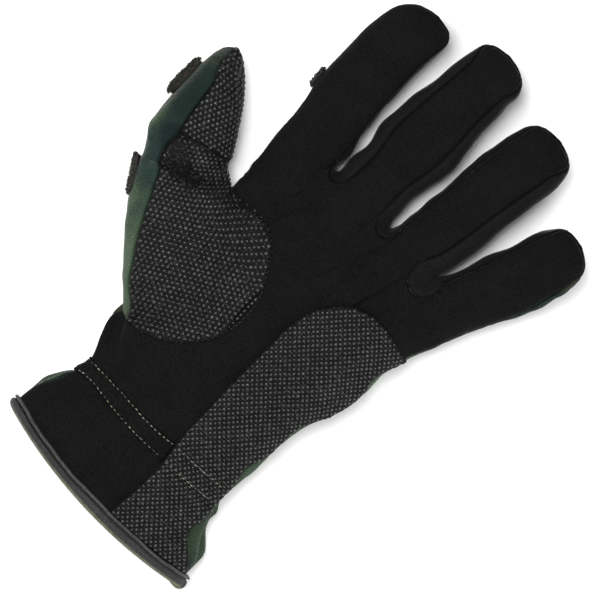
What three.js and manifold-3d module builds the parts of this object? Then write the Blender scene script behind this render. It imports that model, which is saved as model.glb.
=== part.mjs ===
// A left-hand fishing glove lying palm up, as a scene graph of thick cloth pieces.
// Millimetres, +Z up, fingers towards +Y, thumb towards -X. While it is built, the
// origin is the middle of the wrist on the floor; the finished group is moved so that
// the origin is the middle of the bounding box, on the floor.
import * as THREE from 'three';
import { mergeVertices } from 'three/addons/utils/BufferGeometryUtils.js';
import Module from 'manifold-3d';

const wasm = await Module();
wasm.setup();

// Driving sizes of the hand body
const palmDepth = 140; // wrist line to the finger crotches
const palmWidth = 118; // across the knuckles
const wristWidth = 88;
const cuffWidth = 110;
const cuffDepth = 42; // wrist line to the cloth edge of the cuff
const cuffBow = 6.5; // how far the middle of the cuff edge hangs below its two ends
const cuffSlant = 3.2; // how far its thumb end is raised and its other end lowered
const palmMid = 12; // height of the side seams
const palmRise = 15.5; // side seam to the top of the palm
const palmDrop = 13.5; // side seam to the back of the hand before the floor flattens it
const bodySquareness = 2.6;

// Cloth and joints between pieces
const clothWall = 2.4;
const stripWall = 1.6; // side strips between the fingers
const gripWall = 1.3; // dotted grip cloth
const bandWall = 1.1;
const tapeWall = 1.3;
const gap = 0.3; // between neighbouring pieces
const layGap = 0.55; // under a piece laid on the palm, whose facets differ from the palm's
const tapeSlack = 1.2; // between the cloth's inner face and the tape folded round it

// Driving sizes of the fingers
const fingerLength = 86; // middle finger, root to tip
const fingerWidth = 36; // middle finger
const fingerRise = 11; // half the thickness of a finger
const fingerMid = 11.5; // height of a finger's middle at its root
const tipLift = 6; // how far the fingertips curl up
const tipRound = 14; // length over which a fingertip closes
const tipFlat = 0.42; // share of the width that the straight tip edge keeps
const tipEdge = 0.14; // share of the thickness that the tip edge keeps
const fingerSquareness = 2.4;
const crotchDrop = 4; // how far a crotch lies below the roots beside it
const sideWrap = THREE.MathUtils.degToRad(6); // palm cloth past the thumb-side edge
const outerShow = THREE.MathUtils.degToRad(14); // back cloth that shows at the little finger

// Driving sizes of the thumb
const thumbLength = 122; // base of the thumb ball to the tip
const thenarWidth = 72; // widest row of the thumb ball
const thumbMid = 12;
const thumbRise = 11.5;
const thumbDrop = 12;
const thenarRise = 20.5; // side seam to the top of the thumb ball
const thumbSquareness = 2.4;
const thumbLap = 6; // grip cloth over the palm cloth at the edge of the thumb ball

// Driving sizes of the trimmings
const heelGripEdge = 10; // left edge of the heel patch, from the middle of the wrist
const heelGripTop = 107.5; // top edge of the heel patch above the wrist line
const heelSideDrop = 4; // how much lower that edge is at the little-finger side
const heelCornerWidth = 25;
const heelCornerHeight = 38;
const bandWidth = 9;
const bindingWidth = 6.5; // visible width of the tape at the cuff
const hookPadRise = 2.8;
const loopPadRise = 1.3;
const indexLoopLength = 10;
const indexHookLength = 14;

// Outline of the hand body, thumb left out. at: share of palmDepth, or of cuffDepth
// below the wrist. of: the width that left and right are shares of. rise: share of
// palmRise. bow: share of cuffBow.
const bodyRows = [
  { at: -1.15, of: cuffWidth, left: 0.497, right: 0.512, rise: 0.84, bow: 1.0 },
  { at: -0.75, of: cuffWidth, left: 0.487, right: 0.485, rise: 0.84, bow: 0.8 },
  { at: -0.45, of: cuffWidth, left: 0.465, right: 0.435, rise: 0.8, bow: 0.45 },
  { at: -0.2, of: wristWidth, left: 0.535, right: 0.503, rise: 0.75, bow: 0.2 },
  { at: 0, of: wristWidth, left: 0.49, right: 0.482, rise: 0.71, bow: 0.12 },
  { at: 0.06, of: wristWidth, left: 0.501, right: 0.49, rise: 0.72, bow: 0 },
  { at: 0.12, of: palmWidth, left: 0.406, right: 0.373, rise: 0.77, bow: 0 },
  { at: 0.2, of: palmWidth, left: 0.434, right: 0.377, rise: 0.86, bow: 0 },
  { at: 0.3, of: palmWidth, left: 0.415, right: 0.383, rise: 0.95, bow: 0 },
  { at: 0.37, of: palmWidth, left: 0.41, right: 0.403, rise: 1.0, bow: 0 },
  { at: 0.44, of: palmWidth, left: 0.411, right: 0.44, rise: 1.03, bow: 0 },
  { at: 0.55, of: palmWidth, left: 0.418, right: 0.47, rise: 1.05, bow: 0 },
  { at: 0.66, of: palmWidth, left: 0.425, right: 0.478, rise: 1.03, bow: 0 },
  { at: 0.76, of: palmWidth, left: 0.435, right: 0.51, rise: 0.98, bow: 0 },
  { at: 0.84, of: palmWidth, left: 0.433, right: 0.556, rise: 0.92, bow: 0 },
  { at: 0.92, of: palmWidth, left: 0.43, right: 0.595, rise: 0.86, bow: 0 },
  { at: 1.06, of: palmWidth, left: 0.46, right: 0.64, rise: 0.8, bow: 0 },
];

// The four fingers. across and along: the root as shares of palmWidth and palmDepth.
// lean: degrees towards the little finger. long and wide: shares of fingerLength and
// fingerWidth. leftSeam, rightSeam: share of the half width at which the front piece
// ends, at the root and near the tip; 0 is no seam. rows: at, share of the finger's
// length; shift and half, shares of its width.
const fingerTable = [
  {
    name: 'index', across: -0.33, along: 1.057, lean: -0.5, long: 0.878, wide: 0.861,
    leftSeam: [0, 0], rightSeam: [0.9, 0.93],
    rows: [
      { at: 0, shift: 0, half: 0.494 },
      { at: 0.14, shift: -0.034, half: 0.5 },
      { at: 0.25, shift: -0.08, half: 0.51 },
      { at: 0.49, shift: -0.1, half: 0.495 },
      { at: 0.72, shift: -0.09, half: 0.485 },
      { at: 0.87, shift: -0.03, half: 0.478 },
      { at: 1, shift: 0.06, half: 0.47 },
    ],
  },
  {
    name: 'middle', across: -0.042, along: 1.05, lean: 2.3, long: 1, wide: 1,
    leftSeam: [0.62, 0.74], rightSeam: [0.62, 0.76],
    rows: [
      { at: 0, shift: 0, half: 0.46 },
      { at: 0.15, shift: -0.005, half: 0.442 },
      { at: 0.32, shift: -0.015, half: 0.522 },
      { at: 0.5, shift: -0.012, half: 0.496 },
      { at: 0.65, shift: -0.018, half: 0.449 },
      { at: 0.81, shift: -0.005, half: 0.421 },
      { at: 0.9, shift: 0.01, half: 0.415 },
      { at: 1, shift: -0.02, half: 0.415 },
    ],
  },
  {
    name: 'ring', across: 0.241, along: 1.029, lean: 8.8, long: 0.909, wide: 0.889,
    leftSeam: [0.86, 0.88], rightSeam: [0.45, 0.66],
    rows: [
      { at: 0, shift: 0, half: 0.425 },
      { at: 0.08, shift: 0.036, half: 0.478 },
      { at: 0.33, shift: 0.025, half: 0.487 },
      { at: 0.59, shift: -0.003, half: 0.506 },
      { at: 0.78, shift: 0.006, half: 0.503 },
      { at: 0.88, shift: 0.006, half: 0.475 },
      { at: 1, shift: 0, half: 0.47 },
    ],
  },
  {
    name: 'little', across: 0.489, along: 0.973, lean: 22.2, long: 0.719, wide: 0.833,
    leftSeam: [0.84, 0.87], rightSeam: [0, 0],
    rows: [
      { at: 0, shift: 0, half: 0.455 },
      { at: 0.26, shift: 0.04, half: 0.465 },
      { at: 0.5, shift: 0.06, half: 0.478 },
      { at: 0.75, shift: 0.03, half: 0.5 },
      { at: 0.87, shift: 0, half: 0.465 },
      { at: 1, shift: -0.04, half: 0.45 },
    ],
  },
];

// The three crotches. web: from the seam on the palm to the end of the finger gap, a
// share of fingerWidth.
const crotches = [
  { name: 'index_middle_fourchette', web: 0.139 },
  { name: 'middle_ring_fourchette', web: 0.181 },
  { name: 'ring_pinky_fourchette', web: 0.306 },
];

// Rows of the thumb from the foot of its ball to the tip, fanned round the thumb crotch.
// across and along: the row's middle as shares of thumbLength from the foot of the ball.
// half: share of thenarWidth. turn: degrees. border: share of the row, from its outer
// end, where the green back ends. rise: share of thenarRise. open: 1 where the row's
// inner end lies on the palm, 0 where it is the free side of the thumb.
const thumbRows = [
  { across: 0, along: 0, half: 0.06, turn: -13, border: 0.42, rise: 0.6, open: 1 },
  { across: 0.04, along: 0.078, half: 0.255, turn: -3, border: 0.13, rise: 0.8, open: 1 },
  { across: 0.049, along: 0.189, half: 0.403, turn: 3, border: 0.1, rise: 0.97, open: 1 },
  { across: 0.023, along: 0.307, half: 0.483, turn: 9.9, border: 0.11, rise: 1, open: 1 },
  { across: -0.037, along: 0.418, half: 0.5, turn: 13.7, border: 0.14, rise: 0.96, open: 1 },
  { across: -0.123, along: 0.529, half: 0.468, turn: 15.5, border: 0.17, rise: 0.86, open: 1 },
  { across: -0.2, along: 0.54, half: 0.355, turn: 18, border: 0.19, rise: 0.72, open: 0.9 },
  { across: -0.266, along: 0.588, half: 0.296, turn: 16.7, border: 0.27, rise: 0.6, open: 0.15 },
  { across: -0.296, along: 0.65, half: 0.279, turn: 15, border: 0.35, rise: 0.59, open: 0 },
  { across: -0.319, along: 0.748, half: 0.244, turn: 5, border: 0.35, rise: 0.58, open: 0 },
  { across: -0.35, along: 0.852, half: 0.19, turn: 2, border: 0.38, rise: 0.54, open: 0 },
  { across: -0.378, along: 0.926, half: 0.138, turn: 3, border: 0.3, rise: 0.45, open: 0 },
  { across: -0.402, along: 0.983, half: 0.07, turn: 8, border: 0.38, rise: 0.2, open: 0 },
];
const thumbFoot = { across: -0.369, along: 0.211 }; // shares of palmWidth and palmDepth
const capRow = 7.9; // row where the cap's hem lies
const hollowRow = 0.8; // row where the space inside the thumb begins
const holeRows = [0.9, 6.6]; // rows between which the ball covers a hole in the palm cloth
const sharpRow = 10.5; // from here to the tip the back cloth stays below the side seam

// Fuzzy tabs on the thumb. low and high: thumb rows. from and to: section angles,
// degrees; 180 is the outer side. rise: height, mm.
const thumbTabs = [
  { name: 'thumb_cap_hook_tab', low: 8.85, high: 10.35, from: 158, to: 212, rise: hookPadRise },
  { name: 'thumb_base_loop_tab', low: 3.9, high: 5.4, from: 160, to: 215, rise: loopPadRise },
];

// Fuzzy tabs on the index finger. start: share of its length. length: mm.
const indexTabs = [
  { name: 'index_loop_tab', start: 0.2, length: indexLoopLength, from: 168, to: 215 },
  { name: 'index_cap_hook_tab', start: 0.62, length: indexHookLength, from: 240, to: 300 },
];

// Hollows pressed into the top surface. x and wide: place and reach across the hand,
// shares of palmWidth. y and deep: the same along it, shares of palmDepth. press: depth,
// a share of palmRise.
const dents = [
  { x: -0.41, y: 0.155, wide: 0.076, deep: 0.064, press: 0.32 }, // foot of the thumb
  { x: 0.02, y: 0.52, wide: 0.144, deep: 0.243, press: 0.21 }, // cup of the palm
  { x: -0.07, y: 1.2, wide: 0.136, deep: 0.036, press: 0.1 }, // across the middle finger
  { x: -0.62, y: 0.7, wide: 0.102, deep: 0.036, press: 0.16 }, // below the thumb cap
];

// Lobes of the gathered back cloth that show past the palm cloth at the wrist. side: 1
// little finger, -1 thumb. at: place, and reach: half its length, shares of cuffDepth.
// swell: how far it stands out, a share of cuffWidth.
const gathers = [
  { side: 1, at: -0.12, reach: 0.1, swell: 0.018 },
  { side: 1, at: -0.52, reach: 0.17, swell: 0.036 },
  { side: -1, at: -0.45, reach: 0.21, swell: 0.023 },
];

// Mesh density
const wristSteps = 8; // rows from the cuff edge to just above the wrist
const wristShare = 0.345; // share of the way to the fingers that they cover
const palmSteps = 7; // rows from there to the fingers
const fingerSteps = 10;
const fingerColumns = 5;
const crotchColumns = 3;
const stripColumns = 4;
const ballSteps = 12; // rows of the thumb from its foot to the cap's hem
const capSteps = 9;
const thumbColumns = 7;
const thumbBackColumns = 11;
const hollowRings = 12;
const hollowSides = 20;
const keepOutRings = 20;
const keepOutSides = 48;
const bindingStations = 36;
const heelSteps = 13;
const heelColumns = 9;
const bandSteps = 3;
const bandColumns = 14;
const tabSteps = 4;

// Small mathematics

const radians = THREE.MathUtils.degToRad;
const mix = (a, b, t) => a + (b - a) * t;
const smooth = (low, high, x) => {
  const t = Math.min(1, Math.max(0, (x - low) / (high - low)));
  return t * t * (3 - 2 * t);
};

// A column of a table as a smooth curve through its rows.
function curve(rows, key, at) {
  const place = (i) => (rows[i].at === undefined ? i : rows[i].at);
  const last = rows.length - 1;
  let i = 0;
  while (i < last - 1 && at > place(i + 1)) i += 1;
  const slope = (j) => {
    const before = Math.max(0, j - 1);
    const after = Math.min(last, j + 1);
    return (rows[after][key] - rows[before][key]) / (place(after) - place(before));
  };
  const span = place(i + 1) - place(i);
  const t = Math.min(1, Math.max(0, (at - place(i)) / span));
  const a = 2 * t ** 3 - 3 * t ** 2 + 1;
  const b = t ** 3 - 2 * t ** 2 + t;
  const d = t ** 3 - t ** 2;
  return a * rows[i][key] + b * span * slope(i) + (1 - a) * rows[i + 1][key] + d * span * slope(i + 1);
}

// Unit section between an ellipse and a rectangle: power 2 is round, more is squarer.
function squircle(angle, power) {
  const c = Math.cos(angle);
  const s = Math.sin(angle);
  const r = (Math.abs(c) ** power + Math.abs(s) ** power) ** (-1 / power);
  return [r * c, r * s];
}

// The section angle, 0 to PI, whose point lies at this share of the half width.
function angleAt(share, power) {
  const x = Math.min(0.999999, Math.max(1e-6, Math.abs(share)));
  const angle = Math.atan((x ** -power - 1) ** (1 / power));
  return share < 0 ? Math.PI - angle : angle;
}

function pressed(x, y) {
  let sum = 0;
  for (const dent of dents) {
    const u = (x / palmWidth - dent.x) / dent.wide;
    const v = (y / palmDepth - dent.y) / dent.deep;
    sum += dent.press * palmRise * Math.exp(-(u * u + v * v) / 2);
  }
  return sum;
}

// Hand body

const bodyTable = bodyRows.map((row) => ({
  at: row.at * (row.at < 0 ? cuffDepth : palmDepth),
  centre: ((row.right - row.left) / 2) * row.of,
  half: ((row.right + row.left) / 2) * row.of,
  rise: row.rise * palmRise,
  bow: row.bow * cuffBow,
}));

// How far the gathered back cloth stands out sideways at a section direction.
function lobe(y, c, s) {
  if (s >= 0) return 0;
  const sum = gathers.reduce((total, fold) => {
    const away = (y / cuffDepth - fold.at) / fold.reach;
    const swell = fold.side * fold.swell * cuffWidth;
    return total + (fold.side * c > 0 ? swell * Math.exp(-away * away) : 0);
  }, 0);
  return sum * Math.sin(Math.PI * Math.min(1, -s / 0.9)) * Math.abs(c);
}

// A point of the hand body at a station y and a section angle, moved inwards by inset.
// Near the cuff the cloth stands off the floor by the thickness of the tape.
function bodyPoint(y, angle, inset) {
  const half = curve(bodyTable, 'half', y);
  const rise = curve(bodyTable, 'rise', y);
  const [c, s] = squircle(angle, bodySquareness);
  const x = curve(bodyTable, 'centre', y) + (half - inset) * c;
  const height = s > 0 ? rise : palmDrop;
  const edge = (tapeWall + layGap) * (1 - smooth(bindingWidth - cuffDepth, -cuffDepth * 0.4, y));
  let z = palmMid + (height - inset) * s;
  z -= s > 0 ? pressed(x, y) * s : 0;
  const bow = curve(bodyTable, 'bow', y);
  const slant = (bow / cuffBow) * cuffSlant;
  return [x + lobe(y, c, s), y + bow * c * c - slant * c, Math.max(z, inset + edge)];
}

// Height of the palm cloth's outer face above a plan point, or the floor beside it.
function palmTop(x, y) {
  const share = (x - curve(bodyTable, 'centre', y)) / curve(bodyTable, 'half', y);
  if (Math.abs(share) >= 1) return 0;
  return bodyPoint(y, angleAt(share, bodySquareness), 0)[2];
}

// Fingers

const fingers = fingerTable.map((row) => {
  return { ...row, length: row.long * fingerLength, width: row.wide * fingerWidth };
});

function fingerFrame(finger) {
  const lean = radians(finger.lean);
  return {
    root: [finger.across * palmWidth, finger.along * palmDepth],
    ahead: [Math.sin(lean), Math.cos(lean)],
    right: [Math.cos(lean), -Math.sin(lean)],
  };
}

// Size and place of a finger's section at a share of its length; below 0 is the palm.
function fingerSection(finger, at) {
  const frame = fingerFrame(finger);
  const along = Math.max(0, at);
  const close = Math.max(0, (at - 1) * finger.length / tipRound + 1);
  const shift = curve(finger.rows, 'shift', along) * finger.width;
  const wide = tipFlat + (1 - tipFlat) * Math.sqrt(Math.max(0, 1 - close ** 2.4));
  const thick = tipEdge + (1 - tipEdge) * Math.sqrt(Math.max(0, 1 - close ** 2));
  return {
    centre: [0, 1].map((i) => frame.root[i] + frame.ahead[i] * at * finger.length + frame.right[i] * shift),
    right: frame.right,
    ahead: frame.ahead,
    half: curve(finger.rows, 'half', along) * finger.width * wide,
    thick: fingerRise * thick,
    mid: fingerMid + tipLift * along ** 2,
  };
}

function fingerPoint(finger, at, angle, inset) {
  const f = fingerSection(finger, at);
  const [c, s] = squircle(angle, fingerSquareness);
  const half = Math.max(f.half - inset, 0.4 * f.half);
  const thick = Math.max(f.thick - inset, 0.1 * f.thick);
  const x = f.centre[0] + f.right[0] * half * c;
  const y = f.centre[1] + f.right[1] * half * c;
  let z = f.mid + thick * s;
  if (inset > 0 && f.thick < 2 * clothWall + inset) {
    z = s > 0 ? Math.max(z, f.mid + gap / 2) : Math.min(z, f.mid - gap / 2);
  }
  z -= s > 0 ? pressed(x, y) * s : 0;
  return [x, y, Math.max(z, inset)];
}

// Section angle of a finger's seam on one side; it runs out to the side at the tip.
function seamAngle(finger, at, side) {
  const [root, tip] = side < 0 ? finger.leftSeam : finger.rightSeam;
  if (root === 0) return 0;
  const fade = smooth(0.82, 1, at);
  return angleAt(mix(mix(root, tip, Math.max(0, at)), 0.99999, fade), fingerSquareness);
}

// Angle that half a gap takes up at a section.
function gapAngle(half, thick, angle) {
  return gap / 2 / Math.hypot(half * Math.sin(angle), thick * Math.cos(angle));
}

// Stations along every finger, closer together towards the tip.
const fingerStations = Array.from({ length: fingerSteps + 1 }, (_, i) => 1 - (1 - i / fingerSteps) ** 1.6);

// Edges of the front (face 1) or back (face -1) piece on a finger, as section angles
// that run from the left edge to the right edge.
function fingerEdges(finger, at, face) {
  const f = fingerSection(finger, at);
  const wrap = 1 - smooth(0.75, 0.95, at);
  const edge = (side, outerSeam) => {
    const seams = side < 0 ? finger.leftSeam : finger.rightSeam;
    const seam = seams[0] === 0 ? outerSeam * wrap * face : seamAngle(finger, at, side);
    return seam + gapAngle(f.half, f.thick, seam);
  };
  const left = edge(-1, -sideWrap);
  const right = edge(1, outerShow);
  return face > 0 ? [Math.PI - left, right] : [Math.PI + left, 2 * Math.PI - right];
}

// Crotches

// Stations of a crotch's seam from the left finger's root to the right finger's root.
// Each has the direction into the finger gap, the plan place of the gap's wall and of
// the seam, and the local size of the section.
function crotchStations(index) {
  const [a, b] = [fingers[index], fingers[index + 1]];
  const [fa, fb] = [fingerSection(a, 0), fingerSection(b, 0)];
  const shareA = squircle(seamAngle(a, 0, 1), fingerSquareness)[0];
  const shareB = squircle(seamAngle(b, 0, -1), fingerSquareness)[0];
  const wallA = [0, 1].map((i) => fa.centre[i] + fa.right[i] * fa.half);
  const wallB = [0, 1].map((i) => fb.centre[i] - fb.right[i] * fb.half);
  const middle = radians((a.lean + b.lean) / 2);
  const end = [
    (wallA[0] + wallB[0]) / 2 - Math.sin(middle) * crotchDrop,
    (wallA[1] + wallB[1]) / 2 - Math.cos(middle) * crotchDrop,
  ];
  const halfMid = (fa.half + fb.half) / 2;
  const shareMid = 1 - (crotches[index].web * fingerWidth) / halfMid;
  const bend = (p, q, r, t) => {
    const control = 2 * q - (p + r) / 2;
    return (1 - t) ** 2 * p + 2 * t * (1 - t) * control + t * t * r;
  };
  return Array.from({ length: crotchColumns + 1 }, (_, i) => {
    const t = i / crotchColumns;
    const turn = mix(-radians(a.lean), Math.PI - radians(b.lean), t);
    return {
      out: [Math.cos(turn), Math.sin(turn)],
      wall: [0, 1].map((k) => bend(wallA[k], end[k], wallB[k], t)),
      half: mix(fa.half, fb.half, t),
      thick: mix(fa.thick, fb.thick, t),
      mid: mix(fa.mid, fb.mid, t),
      seam: angleAt(bend(shareA, shareMid, shareB, t), fingerSquareness),
      drift: [Math.sin(middle), Math.cos(middle)],
    };
  });
}

// A point of a crotch station at a section angle, moved into the cloth by inset.
function crotchPoint(station, angle, inset) {
  const [c, s] = squircle(angle, fingerSquareness);
  const reach = (station.half - inset) * c - station.half;
  const z = station.mid + (station.thick - inset) * s;
  return [
    station.wall[0] + station.out[0] * reach,
    station.wall[1] + station.out[1] * reach,
    Math.max(z, inset),
  ];
}

// Solids from grids

// A closed solid between an outer and an inner sheet of the same cells. The rim is put
// along every cell edge that has one cell.
function solidSheet(outer, inner, cells) {
  const corners = [...outer, ...inner];
  const shift = outer.length;
  const triangles = [];
  const quad = (a, b, c, d) => triangles.push([a, b, c], [a, c, d]);
  const edges = new Map();
  for (const cell of cells) {
    const [a, b, c, d] = cell;
    quad(a, b, c, d);
    quad(d + shift, c + shift, b + shift, a + shift);
    cell.forEach((from, i) => edges.set(`${from},${cell[(i + 1) % 4]}`, [from, cell[(i + 1) % 4]]));
  }
  for (const [from, to] of edges.values()) {
    if (!edges.has(`${to},${from}`)) quad(to, from, from + shift, to + shift);
  }
  return solidFrom(corners, triangles);
}

// A geometry from corners and triangles, turned so that its faces point outwards.
function solidFrom(corners, triangles) {
  let volume = 0;
  for (const [a, b, c] of triangles) {
    const [p, q, r] = [corners[a], corners[b], corners[c]].map((v) => new THREE.Vector3(...v));
    volume += p.dot(q.cross(r)) / 6;
  }
  const geometry = new THREE.BufferGeometry();
  geometry.setAttribute('position', new THREE.Float32BufferAttribute(corners.flat(), 3));
  geometry.setIndex((volume > 0 ? triangles : triangles.map(([a, b, c]) => [a, c, b])).flat());
  return geometry;
}

// The cells of a plain grid of points given row by row.
function gridCells(rows, columns, start = 0) {
  const cells = [];
  for (let i = 0; i < rows - 1; i += 1) {
    for (let j = 0; j < columns - 1; j += 1) {
      const a = start + i * columns + j;
      cells.push([a, a + 1, a + columns + 1, a + columns]);
    }
  }
  return cells;
}

// A thick sheet over a grid: point(row, column, inset) with both running from 0 to 1.
function thickGrid(rows, columns, wall, point) {
  const sheet = (inset) => {
    const points = [];
    for (let i = 0; i < rows; i += 1) {
      for (let j = 0; j < columns; j += 1) points.push(point(i / (rows - 1), j / (columns - 1), inset));
    }
    return points;
  };
  return solidSheet(sheet(0), sheet(wall), gridCells(rows, columns));
}

// A closed skin from rings of points, with a fan at each end.
function solidRings(rings) {
  const size = rings[0].length;
  const corners = rings.flat();
  const triangles = [];
  rings.slice(1).forEach((_, i) => {
    for (let j = 0; j < size; j += 1) {
      const [a, b] = [i * size + j, i * size + ((j + 1) % size)];
      triangles.push([a, b, b + size], [a, b + size, a + size]);
    }
  });
  for (const end of [0, rings.length - 1]) {
    const ring = rings[end];
    const middle = [0, 1, 2].map((k) => ring.reduce((sum, p) => sum + p[k], 0) / size);
    corners.push(middle);
    for (let j = 0; j < size; j += 1) {
      const [a, b] = [end * size + j, end * size + ((j + 1) % size)];
      triangles.push(end === 0 ? [corners.length - 1, b, a] : [corners.length - 1, a, b]);
    }
  }
  return solidFrom(corners, triangles);
}

function toSolid(geometry) {
  geometry.deleteAttribute('normal');
  geometry.deleteAttribute('uv');
  const merged = mergeVertices(geometry, 1e-5);
  return new wasm.Manifold(new wasm.Mesh({
    numProp: 3,
    vertProperties: new Float32Array(merged.attributes.position.array),
    triVerts: new Uint32Array(merged.index.array),
  }));
}

// The largest body of a cut solid as a geometry; crumbs that a cut leaves are let go.
function toGeometry(solid) {
  const bodies = solid.decompose().sort((a, b) => b.volume() - a.volume());
  const mesh = bodies[0].getMesh();
  const geometry = new THREE.BufferGeometry();
  geometry.setAttribute('position', new THREE.Float32BufferAttribute(mesh.vertProperties, 3));
  geometry.setIndex(Array.from(mesh.triVerts));
  return geometry;
}

// Palm and back: one sheet that splits into four fingers

// Columns across the hand from the thumb side to the little-finger side. Each has the
// finger or crotch station it leads to.
function handColumns() {
  const columns = [];
  fingers.forEach((finger, index) => {
    for (let i = 0; i <= fingerColumns; i += 1) columns.push({ finger, share: i / fingerColumns });
    if (index < fingers.length - 1) {
      const stations = crotchStations(index);
      stations.slice(1, -1).forEach((station) => columns.push({ station }));
    }
  });
  return columns;
}

// face: 1 for the palm side, -1 for the back.
function handPanel(face) {
  const columns = handColumns();
  const turn = (angle) => (face > 0 ? angle : 2 * Math.PI - angle);
  const lead = (column, at, inset) => {
    if (column.finger) {
      const [left, right] = fingerEdges(column.finger, at, face);
      return fingerPoint(column.finger, at, mix(left, right, column.share), inset);
    }
    const { station } = column;
    const angle = turn(station.seam + gapAngle(station.half, station.thick, station.seam));
    return crotchPoint(station, angle, inset);
  };
  // Share of the way round the body section at which a column meets its root.
  const match = columns.map((column) => {
    const [x, y] = lead(column, 0, 0);
    const share = (x - curve(bodyTable, 'centre', y)) / curve(bodyTable, 'half', y);
    return { y, angle: angleAt(Math.min(0.9999, Math.max(-0.9999, share)), bodySquareness) };
  });
  const first = match[0].angle;
  const last = match[match.length - 1].angle;
  const bodyAngle = (index, y) => {
    const share = (match[index].angle - first) / (last - first);
    const slack = gap / 2 / curve(bodyTable, 'rise', y);
    const left = Math.PI + sideWrap - face * slack;
    const right = face > 0 ? outerShow + slack : 2 * Math.PI + outerShow - slack;
    return mix(left, right, share);
  };
  const point = (index, t, inset) => {
    const column = columns[index];
    const y = mix(-cuffDepth, match[index].y, t);
    const palm = bodyPoint(y, bodyAngle(index, y), inset);
    const blend = smooth(0.76, 1, t);
    if (blend === 0) return palm;
    const fall = match[index].y - y;
    let ahead;
    if (column.finger) {
      ahead = lead(column, -fall / column.finger.length, inset);
    } else {
      const base = lead(column, 0, inset);
      ahead = [base[0] - column.station.drift[0] * fall, base[1] - column.station.drift[1] * fall, base[2]];
    }
    return palm.map((value, i) => mix(value, ahead[i], blend));
  };

  const handSteps = wristSteps + palmSteps;
  const sheet = (inset) => {
    const points = [];
    for (let i = 0; i <= handSteps; i += 1) {
      const above = Math.max(0, i - wristSteps) / palmSteps;
      const t = i <= wristSteps ? (wristShare * i) / wristSteps : mix(wristShare, 1, above);
      columns.forEach((_, index) => points.push(point(index, t, inset)));
    }
    fingers.forEach((finger) => {
      fingerStations.slice(1).forEach((at) => {
        const [left, right] = fingerEdges(finger, at, face);
        for (let j = 0; j <= fingerColumns; j += 1) {
          points.push(fingerPoint(finger, at, mix(left, right, j / fingerColumns), inset));
        }
      });
    });
    return points;
  };

  const width = columns.length;
  const cells = gridCells(handSteps + 1, width);
  const top = handSteps * width;
  fingers.forEach((finger, k) => {
    const start = top + columns.findIndex((column) => column.finger === finger);
    const block = (handSteps + 1) * width + k * fingerSteps * (fingerColumns + 1);
    for (let j = 0; j < fingerColumns; j += 1) {
      cells.push([start + j, start + j + 1, block + j + 1, block + j]);
    }
    cells.push(...gridCells(fingerSteps, fingerColumns + 1, block));
  });
  return solidSheet(sheet(0), sheet(clothWall), cells);
}

// Side strip between two fingers: up one finger's side, round the crotch, up the other

function sideStrip(index) {
  const [a, b] = [fingers[index], fingers[index + 1]];
  const stations = fingerStations.slice(1, -1);
  const path = [
    ...stations.toReversed().map((at) => ({ finger: a, side: 1, at })),
    ...crotchStations(index).map((station) => ({ station })),
    ...stations.map((at) => ({ finger: b, side: -1, at })),
  ];
  return thickGrid(path.length, stripColumns + 1, stripWall, (u, v, inset) => {
    const { finger, side, at, station } = path[Math.round(u * (path.length - 1))];
    if (station) {
      const seam = station.seam - 2 * gapAngle(station.half, station.thick, station.seam);
      return crotchPoint(station, mix(seam, -seam, v), inset);
    }
    const f = fingerSection(finger, at);
    const seam = seamAngle(finger, at, side);
    const slack = Math.min(2 * gapAngle(f.half, f.thick, seam), 0.8 * seam);
    const edge = mix(seam - slack, slack - seam, v);
    return fingerPoint(finger, at, side > 0 ? edge : Math.PI - edge, inset);
  });
}

// Thumb

const thumbSide = radians(-12); // the front pieces end this far under the free side
const thumbTip = thumbRows.length - 1;

// Size and place of a thumb row; row runs from 0 at the foot of the ball to the tip.
function thumbSection(row) {
  const read = (key) => curve(thumbRows, key, row);
  const turn = radians(read('turn'));
  const open = Math.min(1, Math.max(0, read('open')));
  const foot = [thumbFoot.across * palmWidth, thumbFoot.along * palmDepth];
  const close = Math.max(0, row - thumbTip + 1);
  const half = read('half') * thenarWidth;
  const centre = [foot[0] + read('across') * thumbLength, foot[1] + read('along') * thumbLength];
  const across = [Math.cos(turn), Math.sin(turn)];
  const inner = [centre[0] + across[0] * half, centre[1] + across[1] * half];
  return {
    centre,
    across,
    half,
    open,
    border: angleAt(2 * read('border') - 1, thumbSquareness),
    rise: read('rise') * thenarRise * mix(1, 0.35, close ** 2),
    drop: mix(1, thumbRise / thumbDrop, smooth(6, 9, row)) * thumbDrop * mix(1, 0.2, close ** 2),
    rest: mix(thumbMid, Math.max(thumbMid, palmTop(...inner)), open),
  };
}

function thumbPoint(row, angle, inset) {
  const f = thumbSection(row);
  const [c, s] = squircle(angle, thumbSquareness);
  const side = c > 0 && s >= 0 ? 1 - f.open : 1;
  const half = Math.max(f.half - inset * side, 0.3 * f.half);
  const x = f.centre[0] + f.across[0] * half * c;
  const y = f.centre[1] + f.across[1] * half * c;
  if (s < 0) return [x, y, Math.max(inset, thumbMid + Math.max(f.drop - inset, 0.2) * s)];
  const top = thumbMid + Math.max(f.rise - inset, gap);
  if (c <= 0) return [x, y, mix(thumbMid, top, s) - pressed(x, y) * s];
  const ramp = 0.5 + 0.5 * Math.cos(Math.PI * c);
  const low = f.rest - inset * f.open;
  const height = mix(low, Math.max(top, low + gap), mix(s, ramp, f.open));
  return [x, y, height - pressed(x, y) * s * (1 - f.open)];
}

// Lifts a point of the thumb ball clear of the palm cloth below it.
function clearOfPalm([x, y, z], lift) {
  const floor = palmTop(x, y);
  return floor > 0 ? [x, y, Math.max(z, floor + lift)] : [x, y, z];
}

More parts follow.
